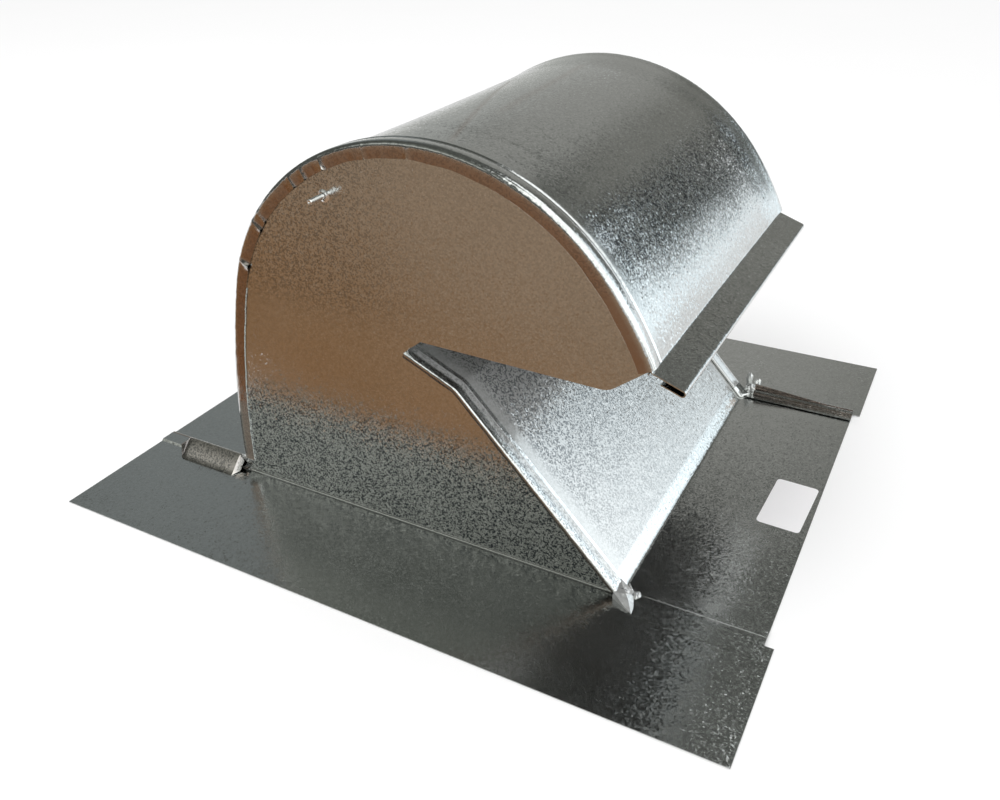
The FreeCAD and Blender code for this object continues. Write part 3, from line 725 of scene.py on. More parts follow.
def half_section(lock, plain_width, pressed):
    """Half of a sheet's closed section, with each point's share of brown painted shade and reflection; a
    pressed nose has no gap under it.
    """
    tight = (SHEET_EDGE - TIGHT_FOLD, TIGHT_FOLD)
    inner = [(width, 0.0) for width in WIDTHS]
    root = lock.root if lock else ROOT
    radius = lock.nose if lock else FLAT_NOSE
    nose = (root + radius, 0.65 + radius)
    going = arc(tight, TIGHT_FOLD, -90, 90, 6)[1:]
    going += [(root + 1.3, MIDDLE_TOP), (root + 1.0, 1.28), (root + 1.3, 1.42)]
    coming = arc(nose, radius, 85, 270, 8) + arc(tight, TIGHT_FOLD - SHEET, 90, -90, 3)[:-1]
    if not lock:
        inner = [(width * plain_width / WIDTHS[-1], 0.0) for width in WIDTHS]
        middle = len(going) + STRIP_POINTS + RIM_POINTS
        edge = [(plain_width, 0.0)] * middle
        edge += [(plain_width, SHEET)] * (STRIP_POINTS + RIM_POINTS + len(coming))
        points = inner + edge + [(y, SHEET) for y, _ in reversed(inner)]
        return points, [0.0] * len(points)
    points = inner + going + lock.under + lock.upper[::-1] + coming + [(y, SHEET) for y, _ in reversed(inner)]
    if pressed:
        foot = root + RAMP[-1][0]
        ramp = [(root + along, level) for along, level in RAMP]
        back = ramp + [(foot, SHEET)] * (len(coming) - len(RAMP))
        back += [(min(y, foot), SHEET) for y, _ in inner[::-1]]
        points = inner + going + lock.under + lock.upper[::-1] + back
    before = len(inner) + len(going) + len(lock.under)
    painted_shade = [0.0] * before + lock.painted_shade[::-1]
    return points, painted_shade + [0.0] * (len(points) - len(painted_shade))


def wander(*place):
    """Smooth random number from -1 to 1 that is the same at each run."""
    return noise.noise(Vector(place))


def eased(value):
    """Zero below zero, one above one and smooth between."""
    share = max(0.0, min(1.0, value))
    return share * share * (3 - 2 * share)


def pleat_at(station):
    """How far the nearest pleat stands out of the rim here, and how deep its nick is."""
    if station.run != "crown":
        return 0.0, 0.0
    along = math.radians(station.share * CROWN_TURN) * CROWN_RADIUS
    pleat, nick = 0.0, 0.0
    for angle, size in CRIMPS:
        gap = along - math.radians(angle) * CROWN_RADIUS
        if -PLEAT_BEFORE < gap <= 0.0:
            pleat = max(pleat, PLEAT_HEIGHT * size * (1 + gap / PLEAT_BEFORE) ** 1.2)
        elif 0.0 < gap < PLEAT_AFTER:
            pleat = max(pleat, PLEAT_HEIGHT * size * (1 - gap / PLEAT_AFTER))
        nick = max(nick, 1.0 - abs(gap) / (CRIMP_WIDTH / 2))
    return pleat, nick


# Sizes of the hammering's waves: broad and fine dents, the pleats and the rim's edge, and the rim's bulge
DENT, FINE_DENT, PLEAT_WAVE, EDGE_WAVE = 0.26, 0.09, 0.22, 0.45
RIM_BULGE, LEAST_BULGE, PLAIN_BURR = 0.48, 0.1, 0.02
# Places along the vent of the tent's ends and of the fin's slope
TENT_LEFT, TENT_FULL, TENT_RIGHT = -202.0, -190.0, -139.5
TENT_END = 4.5
FIN_TALL_TO, FIN_FALL, FIN_LEAST = 146.0, 52.0, 0.05


def lock_at(kind, station, side, seed):
    """Lock at a station: hammered, pleated, overhanging, cut bare, flat, or standing up at two ends."""
    x, front = station.place.x, station.place.x > 0
    if kind == "hammered":
        along = station.distance
        dent = DENT * wander(along / 7.0, side * 9.0 + seed, 0.0)
        dent += FINE_DENT * wander(along / 2.3, side * 5.0 + seed, 2.0)
        drop = EDGE_WAVE * wander(along / 13.0, side * 4.0 + seed, 5.0)
        pleat, nick = pleat_at(station)
        pleat += PLEAT_WAVE * wander(along / 4.5, side * 3.0 + seed, 7.0)
        burr = BURR if station.run in ("wall", "shoulder") else PLAIN_BURR
        raised = SMOOTH_STRIP if side == 1 else RAISED_STRIP
        if station.run in ("slope", "knee", "upper"):
            raised = SHALLOW_STRIP
        if side == -1 and station.run in ("slope", "knee", "upper"):
            return overhung_lock(OVERHANG_OUT + 0.8 * dent, CORNER_TOP + 0.3 * dent, -1.6 - drop)
        bulge = max(LEAST_BULGE, RIM_BULGE + dent + 0.3 * pleat)
        return hammered_lock(raised, bulge, pleat, drop, nick, burr)
    if station.run == "flange" and front:
        if side == 1:
            return fin_lock(max(FIN_LEAST, 1.0 - max(0.0, (x - FIN_TALL_TO) / FIN_FALL)))
        return apron_lock(ROOT + FRONT_LOCK_SHIFT, FRONT_APRON_EDGE)
    if side == -1 and station.run in ("foot", "slope_relief"):
        above = station.run == "slope_relief"
        share = 1.0 if above else eased(station.share)
        end = -0.5 - 1.1 * station.share if above else -0.5
        overhung = overhung_lock(OVERHANG_OUT, CORNER_TOP, end)
        return blend_locks(bare_lock(ROOT + FRONT_LOCK_SHIFT), overhung, share)
    if front and kind == "bare":
        return bare_lock(ROOT + FRONT_LOCK_SHIFT * eased((x - FRONT_EDGE + FRONT_FLANGE) / 8.0))
    flat = apron_lock(ROOT, BACK_APRON_EDGE) if kind == "apron" else bare_lock(ROOT)
    if side == -1 and x < TENT_FULL:
        raised = max(0.0, (x - TENT_LEFT) / (TENT_FULL - TENT_LEFT))
        return blend_locks(beaten_lock(ROOT), tent_lock(), raised)
    if side == -1 and x < 0:
        return blend_locks(flat, tent_lock(), eased((TENT_RIGHT - x) / TENT_END))
    return flat


# What each run of a sheet has at its edges
KINDS = {"setback": "bare", "flange": "apron", "flange_relief": "bare", "foot": "bare", "wall_relief": "bare",
         "slope_relief": "bare"}
HAMMERED_RUNS = ("wall", "shoulder", "crown", "brow", "slope", "knee", "upper")


# Share of dark crystals that paint speckled reflection on the back lock's tent and on the hood's near rim,
# and the least between the locks
TENT_SPECKLE, RIM_SPECKLE, LEAST_SPECKLE = 0.9, 0.4, 0.1
# Share of dark crystals that paint speckled reflection on the throat's upper part and covers, and at its
# outer edge and its slope's foot
COVER_SPECKLE, EDGE_SPECKLE = 0.75, 0.3
# Heading of the crown's start, and the crown angles over which its painted dark band of speckled reflection
# comes and goes
CROWN_START = 163.5
BAND_COMES, BAND_GOES = (107.0, 11.0), (125.0, 8.0)


def beside_lock(y):
    """How much of a sheet's painted speckle is left here: all of it between the locks, little on their
    strips.
    """
    beside = abs(y)
    return 1.0 if beside < ROOT + 0.2 else 0.3 * (beside < SHEET_EDGE - 1.0)


def hood_painted_speckle(station, y):
    """Dark crystals that paint speckled reflection where the crown turns down to the brow, on the back lock's
    tent and on the near rim.
    """
    arm = station.place - CROWN_CENTRE
    angle = CROWN_START - math.degrees(math.atan2(arm.y, arm.x))
    if station.run == "flange" and y < -HALF_WIDTH - 0.5:
        return TENT_SPECKLE
    if y < -HALF_WIDTH - 0.4 and station.run in ("wall", "shoulder", "crown"):
        return RIM_SPECKLE
    if station.run not in ("crown", "brow"):
        return 0.0
    comes = eased((angle - BAND_COMES[0]) / BAND_COMES[1])
    goes = eased((angle - BAND_GOES[0]) / BAND_GOES[1])
    return max(LEAST_SPECKLE, comes * (1.0 - 0.85 * goes)) * beside_lock(y)


def throat_painted_speckle(station, y):
    """Dark crystals that paint speckled reflection over the throat's upper part and the covers of its locks,
    few at its foot and far side.
    """
    if y < -ROOT - 6.5 and station.run in ("slope_relief", "slope", "knee", "upper"):
        return COVER_SPECKLE if y > -OVERHANG_OUT + 1.0 else EDGE_SPECKLE
    rising = EDGE_SPECKLE + 0.5 * eased(station.share * 1.6)
    dark = {"slope": rising, "knee": COVER_SPECKLE, "upper": COVER_SPECKLE}.get(station.run, LEAST_SPECKLE)
    return dark * (1.0 - 0.6 * eased((y + 10.0) / 100.0)) * beside_lock(y)


# How calm the crystals lie next to a lock and on its strip, and where the calm begins and is full
CALM_BESIDE, CALM_STRIP = 0.85, 0.35
CALM_BEGINS, CALM_FULL = 105.0, 111.0
SHEET_FOLDS, LUMP_FOLDS, TURNED_FOLDS = 42, 16, 35


def sheet_skin(name, stations, plain_width, warp, grain, pressed, seed):
    """Closed mesh of a bent sheet with its locks, swept through the stations."""
    builder = bmesh.new()
    # Share of the brown tint of painted shade and reflection at each corner
    painted_shade_layer = builder.verts.layers.float.new("painted_shade")
    calm_layer = builder.verts.layers.float.new("calm")
    # Share of dark crystals that paint dark, speckled reflections at each corner
    grain_layer = builder.verts.layers.float.new("grain")
    dull_layer = builder.verts.layers.float.new("dull")
    corners, rings = {}, []

    def corner(point, painted_shade, dark, dull):
        key = tuple(round(value, 4) for value in point)
        if key not in corners:
            vertex = builder.verts.new([value * MM for value in point])
            vertex[painted_shade_layer] = painted_shade
            beside = abs(point[1])
            vertex[grain_layer] = dark
            vertex[dull_layer] = dull if beside < SHEET_EDGE - 0.5 else 0.0
            calm = CALM_BESIDE * eased((beside - CALM_BEGINS) / (CALM_FULL - CALM_BEGINS))
            vertex[calm_layer] = calm if beside < ROOT + 1.0 else CALM_STRIP
            corners[key] = vertex
        return corners[key]

    for station in stations:
        kind = KINDS.get(station.run, "hammered" if station.run in HAMMERED_RUNS else "plain")
        dull = 1.0 if station.run in ("slope", "knee", "upper") else 0.0
        ring = []
        for side in (1, -1):
            lock = lock_at(kind, station, side, seed) if kind != "plain" else None
            points, painted_shades = half_section(lock, plain_width, pressed and side == 1)
            half = list(zip(points, painted_shades))
            half = half if side == 1 else half[-2:0:-1]
            for (width, offset), painted_shade in half:
                lift = offset + warp(station, side * width)
                # Painted shade along the creases, on the sheet's outer face
                if offset == SHEET:
                    painted_shade = max(painted_shade, crease_painted_shade(station, side * width))
                place = station.place + station.outward * lift
                dark = grain(station, side * width)
                ring.append(corner((place.x, side * width, place.y), painted_shade, dark, dull))
        rings.append(ring)

    def skin(loop):
        kept = [vertex for index, vertex in enumerate(loop) if vertex is not loop[index - 1]]
        if len(kept) > 2 and len(set(kept)) == len(kept):
            if not builder.faces.get(kept):
                builder.faces.new(kept)

    for before, after in zip(rings, rings[1:]):
        for index in range(len(before)):
            following = (index + 1) % len(before)
            skin([before[index], before[following], after[following], after[index]])
    for ring in (rings[0][::-1], rings[-1]):
        skin(ring)
    bmesh.ops.dissolve_degenerate(builder, dist=2e-6, edges=builder.edges[:])
    ends = [face for face in builder.faces if len(face.verts) > 4]
    bmesh.ops.triangulate(builder, faces=ends)
    bmesh.ops.recalc_face_normals(builder, faces=builder.faces[:])
    mesh = bpy.data.meshes.new(name)
    builder.to_mesh(mesh)
    builder.free()
    return smooth_piece(name, mesh, SHEET_FOLDS, SHEET_FINISH)


def crease_gap(angle, y, middle, slant):
    """Distance over the crown from a place to a slanting crease."""
    return math.radians(angle - (middle + slant * y)) * CROWN_RADIUS


def crease_painted_shade(station, y):
    """Painted shade along the slanting crease and a second, fainter one further round the crown."""
    if station.run != "crown" or abs(y) > ROOT - 2.0:
        return 0.0
    angle = station.share * CROWN_TURN
    crease_shade = 0.0
    for middle, slant, width, strength, ends in CREASES:
        gap = crease_gap(angle, y, middle, slant)
        reach = eased((ends[1] - y) / 25.0) * eased((y - ends[0]) / 25.0)
        crease_shade = max(crease_shade, strength * math.exp(-(gap / width) ** 2) * reach)
    return crease_shade


def crease_depth(station, y):
    """Two soft creases across the crown: one slanting over its top and one along its near lock."""
    if station.run != "crown":
        return 0.0
    angle = station.share * CROWN_TURN
    gap = crease_gap(angle, y, *CREASES[0][:2])
    slanting = SLANT_DEPTH * math.exp(-(gap / 1.5) ** 2)
    slanting *= eased((58.0 - y) / 20.0) * eased((y + 116.0) / 30.0)
    reach = eased((angle - 56.0) / 8.0) * eased((104.0 - angle) / 8.0)
    return slanting + BESIDE_DEPTH * math.exp(-((y + 88.5) / 3.2) ** 2) * reach


SHOULDER_LENGTH, BROW_LENGTH = 116.4, 42.6
HOOD_WAVE, THROAT_WAVE = 0.55, 0.35


def between_locks(y):
    """How free the sheet is to wave here: not at all at its locks."""
    return eased((HALF_WIDTH - 13.0 - abs(y)) / 16.0)


def hood_warp(station, y):
    """Slight waves that hand bending leaves between the hood's locks."""
    if station.run not in ("shoulder", "crown", "brow"):
        return 0.0
    held = between_locks(y)
    if station.run == "shoulder":
        held *= eased(station.share * SHOULDER_LENGTH / 30.0)
    if station.run == "brow":
        held *= eased((1.0 - station.share) * BROW_LENGTH / 25.0)
    wave = wander(station.distance / 75.0, y / 95.0, 3.0)
    wave += 0.4 * wander(station.distance / 30.0, y / 60.0, 8.0)
    return HOOD_WAVE * held * wave - crease_depth(station, y) * eased((HALF_WIDTH - 11.5 - abs(y)) / 4.0)


def throat_warp(station, y):
    """Slight waves of the throat's slope between its locks."""
    if station.run != "slope":
        return 0.0
    held = between_locks(y) * eased(station.share * 5.0) * eased((1.0 - station.share) * 5.0)
    return THROAT_WAVE * held * wander(station.distance / 60.0, y / 80.0, 12.0)


def make_hood():
    """Back flange, back wall, hood and drip lip in one sheet, hammered over the side walls."""
    hood = sheet_skin("hood_sheet", hood_stations(), HALF_WIDTH, hood_warp, hood_painted_speckle, True, 1.0)
    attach(hood, "casing")
    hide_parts("hood_wrapper")


def make_throat():
    """Front flange, sloped throat and damper seat in one sheet."""
    throat = sheet_skin("throat_sheet", throat_stations(), SHEET_EDGE, throat_warp, throat_painted_speckle, False, 2.0)
    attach(throat, "casing")
    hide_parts("throat_panel")


BEND_FROM, BEND_TO = -136.0, 136.0
BEND_RADIUS = 1.7


def make_flange_bends():
    """Rounded inside of the bends between the side walls and their flanges."""
    for name, side in (("flange_bend_near", -1), ("flange_bend_far", 1)):
        middle = (HALF_WIDTH + BEND_RADIUS, SHEET + BEND_RADIUS)
        section = arc(middle, BEND_RADIUS, 180, 270, 7) + [(HALF_WIDTH - 0.2, SHEET - 0.2)]
        rows = int((BEND_TO - BEND_FROM) / 8.0)
        points, faces = [], []
        for row in range(rows + 1):
            x = BEND_FROM + (BEND_TO - BEND_FROM) * row / rows
            points += [(x * MM, side * y * MM, z * MM) for y, z in section]
        count = len(section)
        for row in range(rows):
            for index in range(count):
                after = (index + 1) % count
                first, second = row * count, (row + 1) * count
                faces.append((first + index, first + after, second + after, second + index))
        faces += [tuple(range(count)), tuple(range(rows * count, (rows + 1) * count))]
        bend = mesh_object(name, points, faces, bpy.data.materials[SHEET_FINISH], smooth=True)
        builder = bmesh.new()
        builder.from_mesh(bend.data)
        bmesh.ops.triangulate(builder, faces=[face for face in builder.faces if len(face.verts) > 4])
        bmesh.ops.recalc_face_normals(builder, faces=builder.faces[:])
        builder.to_mesh(bend.data)
        builder.free()
        bend.data.set_sharp_from_angle(angle=math.radians(60))
        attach(bend, "casing")


# Middle, half sizes, turn about the upright line in degrees and seed of each crushed lump, in millimetres
LUMPS = (
    ((142.6, -125.0, 1.9), (2.8, 3.2, 2.4), 0.0, 1.0),
    ((139.4, 127.4, 3.6), (5.0, 4.8, 4.6), 0.0, 3.0),
    ((137.0, 131.5, 8.5), (2.4, 4.4, 7.2), 25.0, 4.0),
    ((143.0, 133.4, 5.2), (2.8, 3.8, 5.2), -20.0, 5.0),
)
# Corners of the near lock's beaten end round its peak, in millimetres
WEDGE_CORNERS = ((130.5, -119.5, 5.8), (131.0, -131.4, 5.4), (144.6, -138.8, 1.0), (143.8, -124.0, 1.2))
WEDGE_PEAK = (138.2, -129.6, 5.6)
WEDGE_CRUMPLE = 0.7
LUMP_DENTS = 0.22
LUMP_DULLNESS = 0.8


def beaten_wedge(builder):
    """Near lock's end, beaten down to a crumpled wedge on the flange."""
    top = [builder.verts.new([value * MM for value in corner]) for corner in WEDGE_CORNERS]
    peak = builder.verts.new([value * MM for value in WEDGE_PEAK])
    bottom = [builder.verts.new((x * MM, y * MM, 0.3 * MM)) for x, y, _ in WEDGE_CORNERS]
    made = [builder.faces.new(bottom[::-1])]
    for index in range(len(top)):
        following = (index + 1) % len(top)
        made.append(builder.faces.new((top[index], top[following], peak)))
        made.append(builder.faces.new((top[index], bottom[index], bottom[following], top[following])))
    edges = list({edge for face in made for edge in face.edges})
    bmesh.ops.subdivide_edges(builder, edges=edges, cuts=3, use_grid_fill=True)
    wedge = [vertex for vertex in builder.verts if vertex.co.z > 0.6 * MM]
    for vertex in wedge:
        place = vertex.co / MM
        push = Vector((wander(*(place / 2.4)), wander(*(place / 2.1)), 0.6 * wander(*(place / 1.9))))
        vertex.co += push * WEDGE_CRUMPLE * MM
        vertex.co.z = max(vertex.co.z, 0.6 * MM)


def make_crushed_ends():
    """Crumpled ends of the throat's locks, beaten down where they meet the flange."""
    builder = bmesh.new()
    beaten_wedge(builder)
    for middle, sizes, turn, seed in LUMPS:
        made = bmesh.ops.create_icosphere(builder, subdivisions=3, radius=1.0)
        cosine, sine = math.cos(math.radians(turn)), math.sin(math.radians(turn))
        for vertex in made["verts"]:
            ray = vertex.co.normalized()
            swell = 1.0 + LUMP_DENTS * wander(ray.x * 2.2 + seed, ray.y * 2.2, ray.z * 2.2)
            swell -= LUMP_DENTS * abs(math.sin(2.2 * ray.x + 1.7 * ray.y + seed)) ** 6
            local = Vector([ray[axis] * sizes[axis] * swell for axis in range(3)])
            turned = Vector((local.x * cosine - local.y * sine, local.x * sine + local.y * cosine, local.z))
            place = Vector(middle) + turned
            place.z = max(place.z, 0.2)
            vertex.co = place * MM
    bmesh.ops.remove_doubles(builder, verts=builder.verts[:], dist=1e-6)
    bmesh.ops.recalc_face_normals(builder, faces=builder.faces[:])
    mesh = bpy.data.meshes.new("crushed_lock_ends")
    builder.to_mesh(mesh)
    builder.free()
    beaten = mesh.attributes.new("dull", "FLOAT", "POINT")
    beaten.data.foreach_set("value", [LUMP_DULLNESS] * len(mesh.vertices))
    lumps = smooth_piece("crushed_lock_ends", mesh, LUMP_FOLDS, SHEET_FINISH)
    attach(lumps, "casing")


ROD_PLACE = (-44.18, 206.14)
ROD_HALF_LENGTH = 139.0
ROD_RADIUS = 1.6


def lathe(name, profile, place, spokes, material):
    """Closed ring or pin turned about a crosswise line, from its radius and width profile."""
    points, faces = [], []
    for y, radius in profile:
        for spoke in range(spokes):
            angle = 2 * math.pi * spoke / spokes
            points.append(((place[0] + radius * math.cos(angle)) * MM, y * MM,
                           (place[1] + radius * math.sin(angle)) * MM))
    for ring in range(len(profile)):
        here, after = ring * spokes, (ring + 1) % len(profile) * spokes
        for spoke in range(spokes):
            turn = (spoke + 1) % spokes
            faces.append((here + spoke, here + turn, after + turn, after + spoke))
    builder = bmesh.new()
    mesh = bpy.data.meshes.new(name)
    mesh.from_pydata(points, [], faces)
    builder.from_mesh(mesh)
    bmesh.ops.remove_doubles(builder, verts=builder.verts[:], dist=1e-6)
    bmesh.ops.dissolve_degenerate(builder, dist=1e-7, edges=builder.edges[:])
    bmesh.ops.recalc_face_normals(builder, faces=builder.faces[:])
    builder.to_mesh(mesh)
    builder.free()
    return smooth_piece(name, mesh, TURNED_FOLDS, material)


# Width and radius of the lip that is pressed round each of the rod's holes, in millimetres
ROD_LIP = ((127.0, 3.6), (127.08, 3.4), (127.2, 3.0), (127.4, 2.6), (127.62, 2.3), (127.7, 2.1),
           (127.62, 1.9), (127.0, 1.8))


def make_damper():
    """Damper rod with turned, dimpled ends, and the pressed lips round its holes."""
    half, radius = ROD_HALF_LENGTH, ROD_RADIUS
    tip = [(half - 0.5, 0.0), (half - 0.45, 0.35), (half - 0.05, 0.75), (half, 0.95), (half - 0.1, 1.25),
           (half - 0.45, radius - 0.03), (half - 0.7, radius), (half - 11.2, radius)]
    profile = tip + [(-y, at) for y, at in reversed(tip)]
    rod = lathe("rod_turned", profile, ROD_PLACE, 32, ROD_FINISH)
    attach(rod, "damper")
    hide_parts("damper_rod")
    for name, side in (("rod_lip_near", -1), ("rod_lip_far", 1)):
        ring = lathe(name, [(side * y, at) for y, at in ROD_LIP], ROD_PLACE, 40, ROD_FINISH)
        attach(ring, "casing")


SCREEN_GRIP = 7.0
SCREEN_SEAT_DROP = 3.0
SCREEN_LIP_START = 1.5
SCREEN_END_MARGIN = 2.5
SCREEN_SIDE_GAP = 1.5
BEND_POINTS = 5
WIRE_BEND = 1.2
SHAKE_SEED = 7


def screen_route(wire):
    """Middle line of a lengthwise wire: up into the seat's hem, across the mouth and into the lip's hem."""
    seat = next(station for station in throat_stations() if station.run == "seat")
    lip = next(station for station in hood_stations() if station.run == "lip")
    seat_down = -unit(90.0 + FLAP_LEAN)
    lip_way = unit(-LIP_DROOP)
    seat_corner = seat.place + seat.outward * (SHEET + SEAT_HEM_GAP / 2 - wire / 2)
    seat_corner -= seat_down * SCREEN_SEAT_DROP
    lip_root = lip.place + lip_way * SCREEN_LIP_START - lip.outward * (LIP_HEM_GAP / 2 + wire / 2)
    lip_end = lip_root + lip_way * (SCREEN_GRIP + wire)
    return [seat_corner - seat_down * SCREEN_GRIP, seat_corner, lip_root, lip_end]


def rounded(route, radius):
    """Route with its inner corners rounded."""
    points = [route[0]]
    for before, at, after in zip(route, route[1:], route[2:]):
        into, out = (before - at).normalized() * radius, (after - at).normalized() * radius
        for index in range(BEND_POINTS):
            share = index / (BEND_POINTS - 1)
            points.append(at + into * (1 - share) ** 2 + out * share ** 2)
    return points + [route[-1]]


def wire_cloth_tree():
    """Rows of bent wires with crosswise wires welded on their upper side."""
    tree = bpy.data.node_groups.new("wire_cloth", "GeometryNodeTree")
    tree.is_modifier = True
    tree.interface.new_socket("Geometry", in_out="INPUT", socket_type="NodeSocketGeometry")
    for label, kind in (("Wire Radius", "Float"), ("Pitch", "Float"), ("Rows", "Int"), ("Half Span", "Float"),
                        ("Unevenness", "Float"), ("Seed", "Int"), ("Material", "Material")):
        tree.interface.new_socket(label, in_out="INPUT", socket_type="NodeSocket" + kind)
    tree.interface.new_socket("Geometry", in_out="OUTPUT", socket_type="NodeSocketGeometry")
    given, result = tree.nodes.new("NodeGroupInput").outputs, tree.nodes.new("NodeGroupOutput")
    circle = add_node(tree, "GeometryNodeCurvePrimitiveCircle", {
        "Resolution": 10, "Radius": given["Wire Radius"]})
    bent = add_node(tree, "GeometryNodeMeshToCurve", {"Mesh": given["Geometry"]})
    along = add_node(tree, "GeometryNodeCurveToMesh", {
        "Curve": bent.outputs[0], "Profile Curve": circle.outputs[0], "Fill Caps": True})
    reach = product(tree, product(tree, given["Rows"], given["Pitch"]), -0.5)
    first = add_node(tree, "ShaderNodeCombineXYZ", {1: reach})
    gap = add_node(tree, "ShaderNodeCombineXYZ", {1: given["Pitch"]})
    count = maths(tree, "ADD", given["Rows"], 1.0)
    rows = add_node(tree, "GeometryNodeMeshLine", {
        "Count": count, "Start Location": first.outputs[0], "Offset": gap.outputs[0]})
    low = product(tree, given["Unevenness"], -1.0)
    shake = add_node(tree, "FunctionNodeRandomValue", {"Seed": given["Seed"]}, data_type="FLOAT_VECTOR")
    for socket, value in ((shake.inputs[0], low), (shake.inputs[1], given["Unevenness"])):
        tree.links.new(add_node(tree, "ShaderNodeCombineXYZ", {1: value}).outputs[0], socket)
    shaken = add_node(tree, "GeometryNodeSetPosition", {
        "Geometry": rows.outputs[0], "Offset": shake.outputs[0]})
    lengthwise = add_node(tree, "GeometryNodeInstanceOnPoints", {
        "Points": shaken.outputs[0], "Instance": along.outputs[0]})
    crossing = add_node(tree, "GeometryNodeInputNamedAttribute", {"Name": "crossing"}, data_type="BOOLEAN")
    places = add_node(tree, "GeometryNodeSeparateGeometry", {
        "Geometry": given["Geometry"], "Selection": crossing.outputs[0]}, domain="POINT")
    start = add_node(tree, "ShaderNodeCombineXYZ", {1: product(tree, given["Half Span"], -1.0)})
    end = add_node(tree, "ShaderNodeCombineXYZ", {1: given["Half Span"]})
    straight = add_node(tree, "GeometryNodeCurvePrimitiveLine", {
        "Start": start.outputs[0], "End": end.outputs[0]})
    across = add_node(tree, "GeometryNodeCurveToMesh", {
        "Curve": straight.outputs[0], "Profile Curve": circle.outputs[0], "Fill Caps": True})
    crosswise = add_node(tree, "GeometryNodeInstanceOnPoints", {
        "Points": places.outputs[0], "Instance": across.outputs[0]})
    both = tree.nodes.new("GeometryNodeJoinGeometry")
    tree.links.new(lengthwise.outputs[0], both.inputs[0])
    tree.links.new(crosswise.outputs[0], both.inputs[0])
    solid = add_node(tree, "GeometryNodeRealizeInstances", {"Geometry": both.outputs[0]})
    coated = add_node(tree, "GeometryNodeSetMaterial", {
        "Geometry": solid.outputs[0], "Material": given["Material"]})
    tree.links.new(coated.outputs[0], result.inputs[0])
    return tree


def make_screen(scene):
    """Bird screen of round welded wire across the mouth."""
    sizes = scene.vent_screen
    wire, pitch = sizes.wire / MM, sizes.pitch / MM
    route = screen_route(wire)
    bent = rounded(route, WIRE_BEND)
    half_span = HALF_WIDTH - SHEET - SCREEN_SIDE_GAP
    rows = int((2 * half_span - wire) / pitch)
    crossings = []
    for index, (start, end) in enumerate(zip(route, route[1:])):
        run = (end - start).normalized()
        length = (end - start).length
        count = int((length - 2 * SCREEN_END_MARGIN) / pitch)
        places = [(length - count * pitch) / 2 + step * pitch for step in range(count + 1)]
        if index != 1:
            places = [SCREEN_END_MARGIN if index == 0 else length - SCREEN_END_MARGIN]
        above = Vector((-run.y, run.x)) * wire
        crossings += [start + run * place + above for place in places]
    points = [(point.x * MM, 0.0, point.y * MM) for point in bent + crossings]
    edges = [(index, index + 1) for index in range(len(bent) - 1)]
    mesh = bpy.data.meshes.new("screen_wires")
    mesh.from_pydata(points, edges, [])
    flags = mesh.attributes.new("crossing", "BOOLEAN", "POINT")
    flags.data.foreach_set("value", [index >= len(bent) for index in range(len(points))])
    screen = bpy.data.objects.new("screen_wires", mesh)
    scene.collection.objects.link(screen)
    tree = wire_cloth_tree()
    modifier = screen.modifiers.new("wire_cloth", "NODES")
    modifier.node_group = tree
    values = {"Wire Radius": sizes.wire / 2, "Pitch": sizes.pitch, "Rows": rows, "Half Span": half_span * MM,
              "Unevenness": sizes.unevenness, "Seed": SHAKE_SEED, "Material": bpy.data.materials[WIRE_FINISH]}
    for item in tree.interface.items_tree:
        if item.in_out == "INPUT" and item.name in values:
            modifier[item.identifier] = values[item.name]
    settled = screen.evaluated_get(bpy.context.evaluated_depsgraph_get())
    plain = bpy.data.meshes.new_from_object(settled)
    screen.modifiers.clear()
    screen.data = plain
    plain.name = "screen_wires"
    plain.polygons.foreach_set("use_smooth", [True] * len(plain.polygons))
    plain.set_sharp_from_angle(angle=math.radians(50))
    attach(screen, "casing")
    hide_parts("bird_screen")


STICKER_CENTRE = Vector((0.1981, -0.0019))
STICKER_TURN = math.radians(-2.2)
STICKER_THICK = 0.00012
SHEET_TOP = SHEET * MM


def make_sticker(scene):
    """Blank paper sticker with rounded corners on the front flange."""
    sizes = scene.vent_sticker
    half_x, half_y, radius = sizes.width / 2, sizes.length / 2, sizes.corner
    outline = []
    for sign_x, sign_y, start in ((1, 1, 0), (-1, 1, 90), (-1, -1, 180), (1, -1, 270)):
        for step in range(7):
            angle = math.radians(start + 15 * step)
            outline.append(Vector((sign_x * (half_x - radius) + radius * math.cos(angle),
                                   sign_y * (half_y - radius) + radius * math.sin(angle))))
    turn = Matrix.Rotation(STICKER_TURN, 2)
    flat = [turn @ point + STICKER_CENTRE for point in outline]
    count = len(flat)
    points = [(*point, SHEET_TOP) for point in flat] + [(*point, SHEET_TOP + STICKER_THICK) for point in flat]
    faces = [tuple(reversed(range(count))), tuple(range(count, 2 * count))]
    faces += [(i, (i + 1) % count, count + (i + 1) % count, count + i) for i in range(count)]
    material = bpy.data.materials.new("sticker_paper")
    tree = node_tree(material)
    place = object_place(tree)
    fibre = clouds(tree, place, 900.0, 4.0)
    cloud = clouds(tree, place, 60.0, 2.0)
    paper = list(sizes.paper)
    tint = blend_colours(tree, product(tree, maths(tree, "ADD", fibre, cloud), 0.5),
                         [part * 0.96 for part in paper] + [1.0], paper + [1.0])
    bump = add_node(tree, "ShaderNodeBump", {"Height": fibre, "Distance": 0.00003, "Strength": 0.4})
    shader = add_node(tree, "ShaderNodeBsdfPrincipled", {
        "Base Color": tint, "Roughness": 0.48, "Normal": bump.outputs[0]})
    add_node(tree, "ShaderNodeOutputMaterial", {"Surface": shader.outputs[0]})
    sticker = mesh_object("blank_sticker", points, faces, material)
    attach(sticker, "casing")


